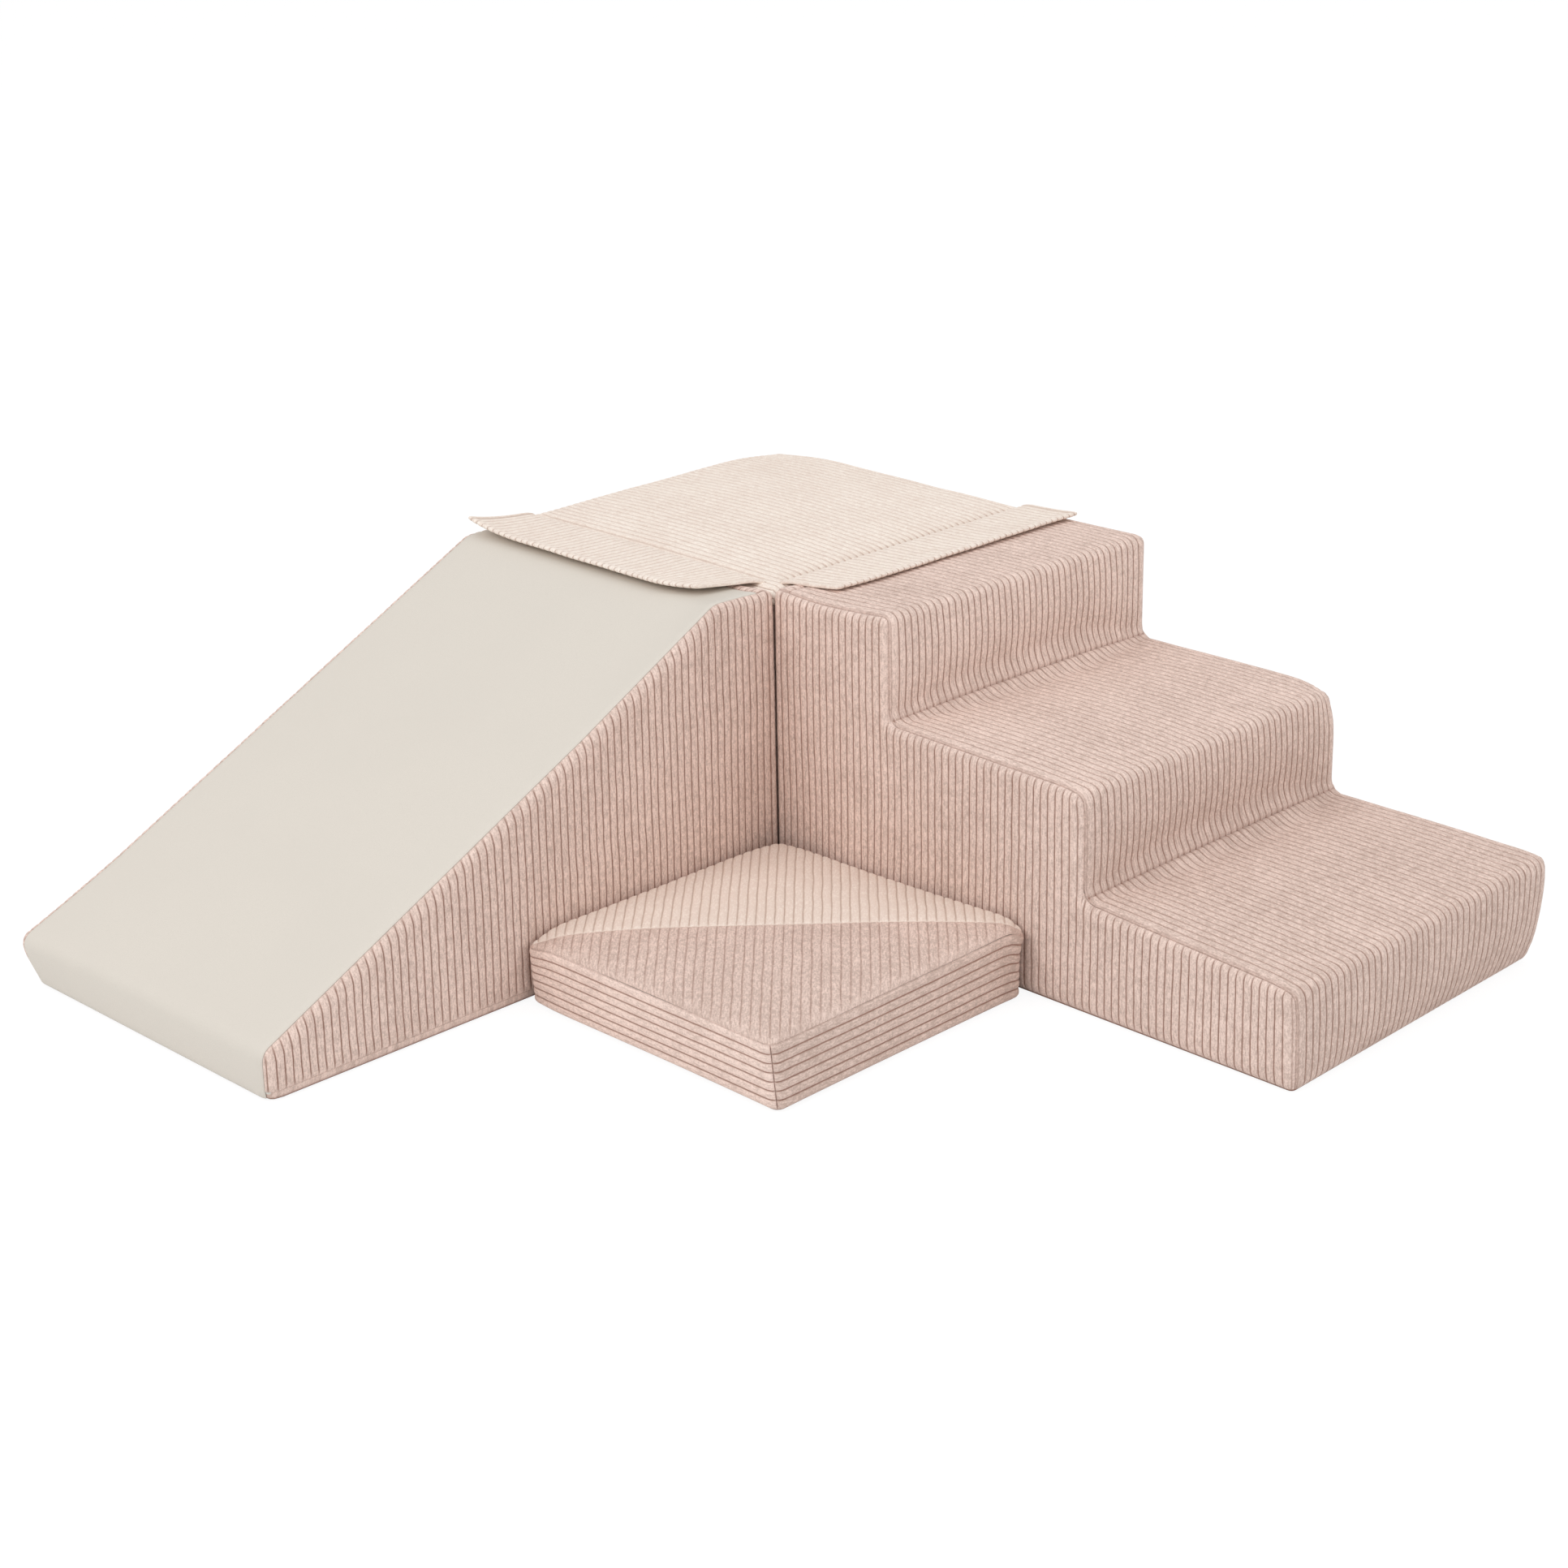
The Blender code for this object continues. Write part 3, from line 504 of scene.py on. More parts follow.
@dataclass(frozen=True)
class Sewing:
    """How a panel is sewn: its ribs, thickness, seam valleys and unevenness."""

    ribs: Ribs | None = Ribs()
    thickness: float = 0.0012
    valley: float = 0.0016
    valley_reach: float = 0.0016
    rib_start: float = 0.0022
    seam_shade: float = 0.0036
    shade: float = 1.0
    groove_share: float = 1.0
    open_share: float = 0.25
    lump: float = 0.0007
    lump_length: float = 0.16
    wander: float = 0.0007
    wander_length: float = 0.09
    kink: float = 0.0007
    kink_length: float = 0.042
    drift: float = 0.0
    drift_length: float = 0.30
    uneven: float = 0.16
    uneven_length: float = 0.05
    calm_reach: float = 0.02
    seed: int = 1

    def relief(self, grid: ClothGrid) -> Array:
        """How far the ribs stand up, from 0 on a seam to 1."""
        return 1 - np.exp(-np.minimum(grid.seam, grid.fade) / self.rib_start)

    def shown(self, grid: ClothGrid) -> Array:
        """How dark the grooves are: less where they open upwards to the light."""
        upward = np.maximum(grid.normals[..., 2], 0)
        return self.relief(grid) * self.groove_share * (1 - self.open_share * upward)

    def sewn(self, grid: ClothGrid) -> Array:
        """How near the nearest seam is and how much painted shade it gets, 1 on a fully shaded seam."""
        return self.shade * np.exp(-grid.seam / self.seam_shade)

    def raised(self, grid: ClothGrid) -> Array:
        """The grid's points with ribs, seam valleys and unevenness."""
        height = -self.valley * np.exp(-grid.seam / self.valley_reach)
        away = 1 - np.exp(-grid.seam / self.calm_reach)
        height = height + self.lump * waves(grid.points, self.lump_length, self.seed) * away
        if self.ribs is None:
            return grid.points + grid.normals * height[..., None]
        full = 1 + self.uneven * waves(grid.points, self.uneven_length, self.seed + 50)
        height = height + self.ribs.profile(grid.across) * full * self.relief(grid)
        sideways = unit(np.gradient(grid.points, axis=0))
        wander = self.wander * waves(grid.points, self.wander_length, self.seed + 90) * away
        wander = wander + self.kink * waves(grid.points, self.kink_length, self.seed + 70) * away
        wander = wander + self.drift * waves(grid.points, self.drift_length, 7) * away
        return grid.points + grid.normals * height[..., None] + sideways * wander[..., None]


def edit_mesh(mesh: Mesh, change: Callable[[Work], None]) -> Mesh:
    """Change a mesh with bmesh operators."""
    work = bmesh.new()
    work.from_mesh(mesh)
    change(work)
    work.to_mesh(mesh)
    work.free()
    return mesh


def work_mesh(name: str, build: Callable[[Work], None]) -> Mesh:
    """A new mesh from bmesh operators."""
    return edit_mesh(bpy.data.meshes.new(name), build)


def fetch(parts: bpy.types.bpy_prop_collection, key: str, width: int, kind: type = np.float32) -> Array:
    """One property of a mesh's parts, in rows where it has more than one number."""
    values = np.zeros(len(parts) * width, kind)
    parts.foreach_get(key, values)
    return values.reshape(-1, width) if width > 1 else values


def grid_mesh(name: str, grid: ClothGrid, sewing: Sewing, raised: Array | None = None) -> Mesh:
    """A mesh from a grid, with UV maps of its ribs and its sewing.

    Args:
        name: The mesh's name.
        grid: The panel.
        sewing: How it is sewn.
        raised: Its points, where the sewing alone doesn't give them.

    Returns:
        The mesh, with its faces outward.
    """
    raised = sewing.raised(grid) if raised is None else raised
    pitch = (sewing.ribs or Ribs()).pitch
    columns, rows = grid.across.shape
    painted_light = np.broadcast_to(grid.painted_light, grid.across.shape)
    cells = {"x_segments": columns - 1, "y_segments": rows - 1}
    mesh = work_mesh(name, lambda work: bmesh.ops.create_grid(work, size=1, **cells))
    flat = fetch(mesh.vertices, "co", 3)
    column = np.rint((flat[:, 0] + 1) / 2 * (columns - 1)).astype(int)
    row = np.rint((flat[:, 1] + 1) / 2 * (rows - 1)).astype(int)
    mesh.vertices.foreach_set("co", raised[column, row].astype(np.float32).ravel())
    corner = fetch(mesh.loops, "vertex_index", 1, np.int32)
    for layer_name, values in (
        ("ribs", (grid.across / pitch, grid.along)),
        ("sewing", (sewing.shown(grid), sewing.sewn(grid))),
        # The third map carries the panel's painted light and shade.
        ("painted_light", (painted_light, painted_light)),
    ):
        layer = mesh.uv_layers.new(name=layer_name)
        places = np.stack([value[column, row] for value in values], axis=-1)[corner]
        layer.data.foreach_set("uv", places.astype(np.float32).ravel())
    mesh.update()
    starts = fetch(mesh.polygons, "loop_start", 1, np.int32)
    outward = grid.normals[column, row][corner[starts]]
    if (fetch(mesh.polygons, "normal", 3) * outward).sum() < 0:
        mesh.flip_normals()
    return mesh


def joined(name: str, meshes: Sequence[Mesh]) -> Mesh:
    """Several meshes as one, with the points that meet merged and flat faces removed."""

    def merge(work: Work) -> None:
        """Take the meshes over."""
        for mesh in meshes:
            work.from_mesh(mesh)
            bpy.data.meshes.remove(mesh)
        bmesh.ops.remove_doubles(work, verts=work.verts, dist=MERGE)
        bmesh.ops.dissolve_degenerate(work, edges=work.edges, dist=MERGE)

    return work_mesh(name, merge)


class Outline:
    """A line through rounded corners in two dimensions, with its outward side on the left."""

    least_radius = 0.0002

    def __init__(self, corners: Sequence[Corner], turn: float = math.radians(15)) -> None:
        """Work the line out.

        Args:
            corners: Each corner's two coordinates and its radius.
            turn: The largest angle between two points of a rounding.
        """
        points = [np.array(c[:2], float) for c in corners]
        self.points: list[tuple[float, Array, Array]] = []
        self.stretches: list[tuple[float, float, int]] = []
        self.run, at = 0.0, points[0]
        for i in range(1, len(points) - 1):
            ahead = (points[i] - at) / np.linalg.norm(points[i] - at)
            after = (points[i + 1] - points[i]) / np.linalg.norm(points[i + 1] - points[i])
            left = np.array([-ahead[1], ahead[0]])
            bend = math.atan2(ahead[0] * after[1] - ahead[1] * after[0], float(ahead @ after))
            radius = max(corners[i][2], self.least_radius)
            start = points[i] - ahead * radius * math.tan(abs(bend) / 2)
            self.line(at, start)
            outward = radius * (-1 if bend > 0 else 1)
            steps = max(int(math.ceil(abs(bend) / turn)), 1)
            for angle in np.linspace(0, bend, steps * 4 + 1):
                cos, sin = math.cos(angle), math.sin(angle)
                turned = np.array([left[0] * cos - left[1] * sin, left[0] * sin + left[1] * cos])
                at = start + (turned - left) * outward
                self.points.append((self.run + radius * abs(angle), at, turned))
            self.stretches.append((self.run, self.points[-1][0], steps))
            self.run = self.points[-1][0]
        self.line(at, points[-1])
        self.arcs = [stretch[:2] for stretch in self.stretches if stretch[2]]
        self.places, self.spots, self.facings = (np.array(values) for values in zip(*self.points))

    def line(self, start: Array, end: Array) -> None:
        """Add a straight stretch."""
        length = float(np.linalg.norm(end - start))
        left = np.array([start[1] - end[1], end[0] - start[0]]) / length
        self.stretches.append((self.run, self.run + length, 0))
        self.points += [(self.run, start, left), (self.run + length, end, left)]
        self.run += length

    def at(self, places: Array) -> tuple[Array, Array]:
        """The points and outward normals at places along the line."""
        spots, facings = (
            np.stack([np.interp(places, self.places, values[:, k]) for k in (0, 1)], axis=-1)
            for values in (self.spots, self.facings)
        )
        return spots, unit(facings)

    def rows(self, step: float, like: "Outline", sewn: dict[int, Array]) -> Array:
        """Places for the mesh's rows: even steps on straights and small turns on roundings.

        Args:
            step: The step on straight stretches.
            like: The outline whose counts of rows are taken over.
            sewn: The roundings with a sewn line along them, with their rows' places as shares.

        Returns:
            The places in order.
        """
        found: list[float] = [0.0]
        for index, (stretch, model) in enumerate(zip(self.stretches, like.stretches)):
            low, high = stretch[:2]
            count = model[2] or max(int(round((model[1] - model[0]) / step)), 1)
            found.extend(low + (high - low) * sewn.get(index, np.linspace(0, 1, count + 1))[1:])
        clear = END_ROWS[-1] * 1.5
        kept = [place for place in found[1:-1] if clear < place < self.run - clear]
        return np.array(sorted([0.0, *kept, *END_ROWS, *(self.run - row for row in END_ROWS), self.run]))

    def nearest(self, places: Array) -> tuple[Array, Array, Array]:
        """Feet on the line, directions from them and signed distances, positive on the outward side.

        Args:
            places: Points, two coordinates last.

        Returns:
            The feet, the unit directions and the distances.
        """
        flat = places.reshape(-1, 2)
        keep = np.linalg.norm(np.diff(self.spots, axis=0), axis=1) > TINY
        starts, ends = self.spots[:-1][keep], self.spots[1:][keep]
        facing = self.facings[:-1][keep]
        spans = ends - starts
        share = ((flat[:, None] - starts) * spans).sum(-1) / (spans**2).sum(-1)
        feet = starts + spans * within(share)[..., None]
        best = ((flat[:, None] - feet) ** 2).sum(-1).argmin(1)
        pick = np.arange(len(flat))
        foot, normal = feet[pick, best], facing[best]
        away = flat - foot
        distance = np.linalg.norm(away, axis=1)
        sign = np.where((away * normal).sum(1) < -TINY, -1.0, 1.0)
        direction = np.where(distance[:, None] > 1e-7, away / np.maximum(distance, TINY)[:, None], normal)
        shape = places.shape
        return foot.reshape(shape), direction.reshape(shape), (distance * sign).reshape(shape[:-1])


def inset_corners(corners: Sequence[Corner], distance: float) -> list[Corner]:
    """An open outline's corners moved inwards, with their radii made smaller."""
    points = [np.array(c[:2], float) for c in corners]
    moved = []
    for i, here in enumerate(points):
        into = here - points[i - 1] if i else points[1] - here
        out = points[i + 1] - here if i < len(points) - 1 else into
        left_in = np.array([-into[1], into[0]]) / np.linalg.norm(into)
        left_out = np.array([-out[1], out[0]]) / np.linalg.norm(out)
        spot = here - (left_in + left_out) * distance / (1 + float(left_in @ left_out))
        hollow = into[0] * out[1] - into[1] * out[0] > TINY
        radius = corners[i][2] + distance if hollow else max(corners[i][2] - distance, 0.0)
        moved.append((float(spot[0]), float(spot[1]), radius))
    return moved


# Blocks


@dataclass(frozen=True)
class Stand:
    """Where a block stands: its own x runs away from the platform, y across, z up."""

    x: float
    y: float
    turn: float = 0.0

    def world(self, points: Array, move: bool = True) -> Array:
        """Points, or directions if they aren't moved, in the frame of the model."""
        cos, sin = math.cos(self.turn), math.sin(self.turn)
        x, y, z = split(points)
        shift = (self.x, self.y) if move else (0.0, 0.0)
        return np.stack([x * cos - y * sin + shift[0], x * sin + y * cos + shift[1], z], axis=-1)

    def matrix(self) -> Matrix:
        """The stand as a matrix."""
        return Matrix.Translation((self.x, self.y, 0)) @ Matrix.Rotation(self.turn, 4, "Z")


@dataclass(frozen=True)
class Hole:
    """A zip's slot in a panel, in the panel's places across and along."""

    across: Pair
    along: Pair

    def turned(self, foot: float) -> "Hole":
        """The same slot in a panel whose ribs run along it, counted from the panel's lower seam."""
        return Hole((self.along[0] - foot, self.along[1] - foot), self.across)

    def distance(self, grid: ClothGrid) -> Array:
        """How far each point lies from the slot's edge."""
        pairs = ((grid.across, self.across), (grid.along, self.along))
        return np.hypot(*(np.maximum(np.maximum(ends[0] - at, at - ends[1]), 0) for at, ends in pairs))

    def cut(self, mesh: Mesh, pitch: float) -> Mesh:
        """Take the faces in the slot out of a mesh."""

        def clear(work: Work) -> None:
            """Delete the faces whose middle lies in the slot."""
            layer = work.loops.layers.uv["ribs"]
            inside = []
            for face in work.faces:
                u = sum(loop[layer].uv.x for loop in face.loops) / len(face.loops) * pitch
                v = sum(loop[layer].uv.y for loop in face.loops) / len(face.loops)
                if self.across[0] < u < self.across[1] and self.along[0] < v < self.along[1]:
                    inside.append(face)
            bmesh.ops.delete(work, geom=inside, context="FACES")

        return edit_mesh(mesh, clear)


@dataclass
class Block:
    """A foam block in a sewn cover: what its panels share."""

    name: str
    stand: Stand
    soften: Shape
    width: float = 0.500
    edge: float = 0.018
    base_edge: float = 0.007
    base_seam: float = 0.0093
    base_clear: float = 0.0001
    foot_shade: float = 0.0028
    row_step: float = 0.013
    smooth_step: float = 0.012
    parallel_fade: float = 0.4
    tuck: float = 0.0
    tuck_height: float = 0.020
    pressed_power: float = 7.0
    open_share_at_top: float = 0.6
    open_depth: float = 0.040
    pressed_height: float | None = None

    @property
    def half(self) -> float:
        """Half the block's width."""
        return self.width / 2

    def finish_grid(
        self, points: Array, normals: Array, across: Array, along: Array, seam: Array,
        fade: Array | None = None,
    ) -> ClothGrid:
        """A grid in the block's own frame, softened and put in the model's frame."""
        if self.pressed_height is not None:
            points = self.press(points)
        low = within(1 - points[..., 2:] / self.tuck_height) ** 2
        points = self.soften(points - normals * np.array([1, 1, 0]) * (self.tuck * low))
        places = (across, along, seam, seam if fade is None else fade)
        shared = (np.broadcast_to(place, points.shape[:-1]).astype(float) for place in places)
        return ClothGrid(self.stand.world(points), self.stand.world(normals, False), *shared)

    def strip(
        self, outline: Outline, seam_inset: float, like: Outline | None = None,
        blend: Shape | None = None, ribs: Ribs | None = Ribs(), sewn: dict[int, Array] | None = None,
    ) -> ClothGrid:
        """A panel that follows the side outline across the block's width.

        Args:
            outline: The line in the block's x and z.
            seam_inset: How far the side seams lie in from the block's sides.
            like: A second outline for the middle, where the cloth bridges its creases.
            blend: The share of that second outline by place across.
            ribs: The ribs, or nothing for smooth cloth.
            sewn: The roundings with a sewn line along them, with their rows' places as shares.

        Returns:
            The grid.
        """
        round_at = self.half - self.edge
        reach = round_at + self.edge * math.asin((self.edge - seam_inset) / self.edge)
        columns = ribs.lines(-reach, reach) if ribs else spaced(-reach, reach, self.smooth_step)
        rows = outline.rows(self.row_step, outline, sewn or {})
        spots, facings = outline.at(rows)
        over = np.maximum(np.abs(columns) - round_at, 0)
        angle = np.broadcast_to((over / self.edge)[:, None], (len(columns), len(rows)))
        side = np.sign(columns)[:, None]
        y = side * (np.minimum(np.abs(columns), round_at)[:, None] + self.edge * np.sin(angle))
        dip = (self.edge * (1 - np.cos(angle)))[..., None]
        place = spots[None] - facings[None] * dip
        turned = facings[None] * np.cos(angle)[..., None]
        if like is not None and blend is not None:
            other, other_facing = like.at(like.rows(self.row_step, outline, sewn or {}))
            share = blend(columns)[:, None, None]
            bridged = other[None] - other_facing[None] * dip
            place = place * (1 - share) + bridged * share
            turned = turned * (1 - share) + other_facing[None] * np.cos(angle)[..., None] * share
        across_side = side * np.sin(angle)
        points = np.stack([place[..., 0], y, place[..., 1]], axis=-1)
        normals = unit(np.stack([turned[..., 0], across_side, turned[..., 1]], axis=-1))
        ends, sides = np.minimum(rows, outline.run - rows)[None], (reach - np.abs(columns))[:, None]
        seam, fade = np.minimum(ends, sides), np.minimum(ends, sides * self.parallel_fade)
        return self.finish_grid(points, normals, columns[:, None], rows[None], seam, fade)

    def press(self, points: Array) -> Array:
        """The block with the rounded edges of its platform side squarer, as the platform presses on them."""
        x, y, z = split(points)
        side, height = np.where(y < 0, -1.0, 1.0), self.pressed_height
        inward = np.stack([x, self.half - np.abs(y), height - z], axis=-1)
        share = within(1 - inward / self.edge)
        pressed = within(share[..., :1] * 2)
        firm = 1 - self.open_share_at_top * np.exp(-np.maximum(inward[..., 2:], 0) / self.open_depth)
        power = 2 + (self.pressed_power - 2) * smooth(pressed) * firm
        length = np.maximum((share**power).sum(-1, keepdims=True), TINY) ** (1 / power)
        grown = share * np.linalg.norm(share, axis=-1, keepdims=True) / length
        x, depth, down = split(np.where(share > 0, (1 - grown) * self.edge, inward))
        return np.stack([x, side * (self.half - depth), height - down], axis=-1)

    def side_grid(
        self, chain: Outline, side: int, flat: Array, reach: float, seam: Array, fade: Array
    ) -> ClothGrid:
        """A side panel from places in its flat cut, laid on the side face and bent over its rounded edge.

        Args:
            chain: The side outline moved in by the edge's radius.
            side: 1 or -1, the side of the block.
            flat: Places in the flat cut, with ribs across their first coordinate.
            reach: How far the cloth runs past the flat face to its seam.
            seam: Distance to the lower seam.
            fade: Distance to the seams beside which the ribs flatten out.

        Returns:
            The grid.
        """
        foot, direction, distance = chain.nearest(flat)
        over = np.maximum(distance, 0)
        angle = np.minimum(over / self.edge, math.pi / 2)
        beyond = np.maximum(over - self.edge * math.pi / 2, 0)
        bent = foot + direction * (self.edge * np.sin(angle))[..., None]
        spot = np.where(distance[..., None] > 0, bent, flat)
        y = side * (self.half - (self.edge * (1 - np.cos(angle)) + beyond))
        along = direction * np.sin(angle)[..., None]
        points = np.stack([spot[..., 0], y, spot[..., 1]], axis=-1)
        normals = np.stack([along[..., 0], side * np.cos(angle), along[..., 1]], axis=-1)
        seam = np.minimum(np.maximum(reach - distance, 0), seam)
        return self.finish_grid(points, normals, flat[..., 0], flat[..., 1], seam, np.minimum(seam, fade))

    def lid(
        self, half_x: float, centre_x: float, height: float, radius: float, drop: float, up: int = 1,
        ribs: Ribs | None = Ribs(), extra: tuple[Sequence[float], Sequence[float]] = ((), ()),
        fine: Sequence[float] = LID_ROWS, corner: float | None = None,
    ) -> ClothGrid:
        """A top or base panel that bends over the block's rounded edges.

        Args:
            half_x: Half the block's length.
            centre_x: The middle of its length.
            height: The height of the panel's flat part.
            radius: The edge's radius.
            drop: How far the cloth runs on past the rounding.
            up: 1 for a top and -1 for a base.
            ribs: The ribs, which run along x, or nothing.
            extra: More places along x and along y.
            fine: Distances from the edges with a row each.
            corner: The corners' radius in plan, if not the block's edge radius.

        Returns:
            The grid.
        """
        past = radius * math.pi / 2 + drop
        reach_x, reach_y = half_x - radius + past, self.half - radius + past
        rows = with_places(spaced(-reach_x, reach_x, self.row_step, fine), extra[0], 0.0015)
        columns = ribs.lines(-reach_y, reach_y) if ribs else spaced(-reach_y, reach_y, self.row_step, fine)
        columns = with_places(columns, extra[1], 0.0004)
        b, a = np.meshgrid(columns, rows, indexing="ij")
        points, normals = fold_lid(a, b, half_x, self.half, radius, corner or self.edge)
        points[..., 0] += centre_x
        points[..., 2] = height + points[..., 2] * up
        normals[..., 2] *= up
        seam = np.minimum(reach_x - np.abs(a), reach_y - np.abs(b))
        return self.finish_grid(points, normals, b, a, seam)

    def wall(
        self, radius: float, side: Side, heights: Pair, ribs_up: bool, hole: Hole | None = None
    ) -> ClothGrid:
        """A wall of a square block, from the middle of one upright rounding to the middle of the next.

        Args:
            radius: The upright edges' radius.
            side: The side that the wall faces.
            heights: The heights of its lower and upper seams.
            ribs_up: Whether the ribs run up the wall, and not along it.
            hole: The slot for a zip, by place along the wall and height.

        Returns:
            The grid, with the place along the wall from its middle.
        """
        extra_s, extra_z = (hole.across, hole.along) if hole else ((), ())
        out = np.array(side.value) * self.half
        along = np.array([out[1], -out[0]])
        path = Outline([(*spot, radius) for spot in (-along, out - along, out + along, along)])
        start, end = ((arc[0] + arc[1]) / 2 for arc in path.arcs)
        middle = (start + end) / 2
        ribs = Ribs()
        if ribs_up:
            along_s = ribs.lines(start - middle, end - middle, 0.0, extra_s)
            z = with_places(spaced(*heights, self.row_step), extra_z, 0.002)
        else:
            along_s = spaced(start - middle, end - middle, self.row_step, (*END_ROWS, 0.015, 0.021))
            along_s = with_places(along_s, extra_s, 0.003)
            z = ribs.lines(*heights, heights[0], extra_z)
        spot, facing = path.at(along_s + middle)
        s_grid, z_grid = np.meshgrid(along_s, z, indexing="ij")
        flat = np.zeros_like(z_grid)
        points = np.stack([flat + spot[:, :1], flat + spot[:, 1:], z_grid], axis=-1)
        normals = np.stack([flat + facing[:, :1], flat + facing[:, 1:], flat], axis=-1)
        ends = np.minimum(s_grid - along_s[0], along_s[-1] - s_grid)
        seam = np.minimum(ends, np.minimum(z_grid - heights[0], heights[1] - z_grid))
        if ribs_up:
            return self.finish_grid(points, normals, s_grid, z_grid, seam)
        return self.finish_grid(points, normals, z_grid - heights[0], s_grid, ends, seam)

    def panel(
        self, name: str, node: str, grids: Sequence[ClothGrid], finish: Finish, sewing: Sewing,
        hole: Hole | None = None, cut: Pair | None = None,
    ) -> None:
        """Sew one cover panel from its grids, with its cloth's thickness, finish and what it stands for.

        Args:
            name: The piece's name.
            node: The CAD node that it stands for.
            grids: Its grids, which meet along shared lines.
            finish: Its cloth.
            sewing: How it is sewn.
            hole: The slot for a zip.
            cut: The flat cut's sizes, where the grids' places don't give them.
        """
        meshes = []
        for grid in grids:
            if hole is not None:
                grid.seam = np.minimum(grid.seam, hole.distance(grid))
            mesh = grid_mesh(name, grid, sewing)
            meshes.append(mesh if hole is None else hole.cut(mesh, (sewing.ribs or Ribs()).pitch))
        cloth = add_piece(name, joined(name, meshes), [finish], self.name, node)
        thickness = cloth.modifiers.new("cloth_thickness", "SOLIDIFY")
        thickness.thickness = sewing.thickness
        thickness.offset = -1
        flat = cut or cut_size(grids)
        area = min(sum(grid.area() for grid in grids), flat[0] * flat[1])

    def base(self, half_x: float, centre_x: float) -> None:
        """Sew the base panel, seen as a low smooth lip round the foot, with painted shade where it meets the
        floor.
        """
        drop = self.base_seam - self.base_edge - self.base_clear
        grid = self.lid(half_x, centre_x, 0.0, self.base_edge, drop, -1, None, fine=LIP_ROWS)
        cut = cut_size([grid])
        grid.across = grid.across * 0
        # Painted shade: the lowest few millimetres are darkened, for the contact shadow at the floor.
        grid.seam = np.maximum(grid.points[..., 2] - self.foot_shade, 0)
        sewing = Sewing(
            seed=31, lump=0.0, wander=0.0, kink=0.0, valley=0.0, seam_shade=0.0012, groove_share=0.0
        )
        self.panel(f"{self.name}_base_cover", f"{self.name}_base_panel", [grid], ROSE, sewing, cut=cut)

    def foam(
        self, name: str, node: str, box: Sequence[float], rounding: float, cuts: int,
        shape: Shape, slope: Sequence[Pair] = (),
    ) -> None:
        """Add foam as one padded piece: an outline in x and z, extruded across the block and rounded.

        Args:
            name: The piece's name.
            node: The CAD node that it stands for.
            box: The lowest and highest x of the cover's outline, then its lowest and highest z.
            rounding: The width of the rounded edges.
            cuts: How often the faces are divided before they are shaped.
            shape: The block's soft shape.
            slope: The outline's last corners, in place of the box's upper two.
        """
        left, right, low, high = (at - sign * FOAM_INSET for at, sign in zip(box, (-1, 1, -1, 1)))
        corners = [(left, low), (right, low), *(slope or [(right, high), (left, high)])]
        near = FOAM_INSET - self.half

        def build(work: Work) -> None:
            """The rounded solid."""
            face = work.faces.new([work.verts.new((x, near, z)) for x, z in corners])
            grown = bmesh.ops.extrude_face_region(work, geom=[face])["geom"]
            moved = [part for part in grown if isinstance(part, bmesh.types.BMVert)]
            bmesh.ops.translate(work, vec=(0, -2 * near, 0), verts=moved)
            bmesh.ops.recalc_face_normals(work, faces=work.faces)
            worn_edges(work, work.edges[:], rounding, 4)
            if cuts:
                bmesh.ops.subdivide_edges(work, edges=work.edges[:], cuts=cuts, use_grid_fill=True)

        mesh = work_mesh(name, build)
        places = self.stand.world(shape(fetch(mesh.vertices, "co", 3).astype(float)))
        mesh.vertices.foreach_set("co", places.astype(np.float32).ravel())
        add_piece(name, mesh, [FOAM], self.name, node)


def fold_lid(
    a: Array, b: Array, half_x: float, half_y: float, radius: float, corner: float
) -> tuple[Array, Array]:
    """Flat places folded over the four rounded edges of a rectangle.

    Args:
        a: Places along x in the flat cut.
        b: Places along y.
        half_x: Half the rectangle's length.
        half_y: Half its width.
        radius: The rounding's radius.
        corner: The corners' radius in plan.

    Returns:
        Points with the flat part at z = 0, and their normals.
    """
    core_x, core_y, level = half_x - corner, half_y - corner, corner - radius
    past_x, past_y = np.maximum(np.abs(a) - core_x, 0), np.maximum(np.abs(b) - core_y, 0)
    over = np.maximum(past_x, past_y)
    length = np.maximum(np.hypot(past_x, past_y), TINY)
    ux, uy = np.sign(a) * past_x / length, np.sign(b) * past_y / length
    angle = np.clip((over - level) / radius, 0, math.pi / 2)
    beyond = np.maximum(over - level - radius * math.pi / 2, 0)
    out = np.minimum(over, level) + radius * np.sin(angle)
    points = np.stack([
        np.clip(a, -core_x, core_x) + ux * out,
        np.clip(b, -core_y, core_y) + uy * out,
        -(radius * (1 - np.cos(angle)) + beyond),
    ], axis=-1)
    normals = np.stack([ux * np.sin(angle), uy * np.sin(angle), np.cos(angle)], axis=-1)
    return points, normals


def add_piece(
    name: str, mesh: Mesh, finishes: Sequence[Finish], body: str, node: str, rounded: bool = True
) -> bpy.types.Object:
    """Put a mesh in the scene as a piece of the object.

    Args:
        name: The piece's name.
        mesh: Its mesh, in the frame of the model.
        finishes: Its finishes, the main one first, in the order of the mesh's material numbers.
        body: The body that it moves with.
        node: The CAD node that it stands for.
        rounded: Whether its faces are shaded smooth.

    Returns:
        The piece.
    """
    mesh.name = name
    piece = bpy.data.objects.new(name, mesh)
    bpy.context.scene.collection.objects.link(piece)
    for finish in finishes:
        mesh.materials.append(material_of(finish))
    mesh.polygons.foreach_set("use_smooth", [rounded] * len(mesh.polygons))
    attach(piece, body)
    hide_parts(node)
    LOG.info("%s: %d faces, rides on %s", name, len(mesh.polygons), body)
    return piece


def worn_edges(work: Work, edges: Sequence[bmesh.types.BMEdge], width: float, steps: int) -> None:
    """Round some edges."""
    bmesh.ops.bevel(work, geom=edges, offset=width, segments=steps, profile=0.5, affect="EDGES", material=-1)


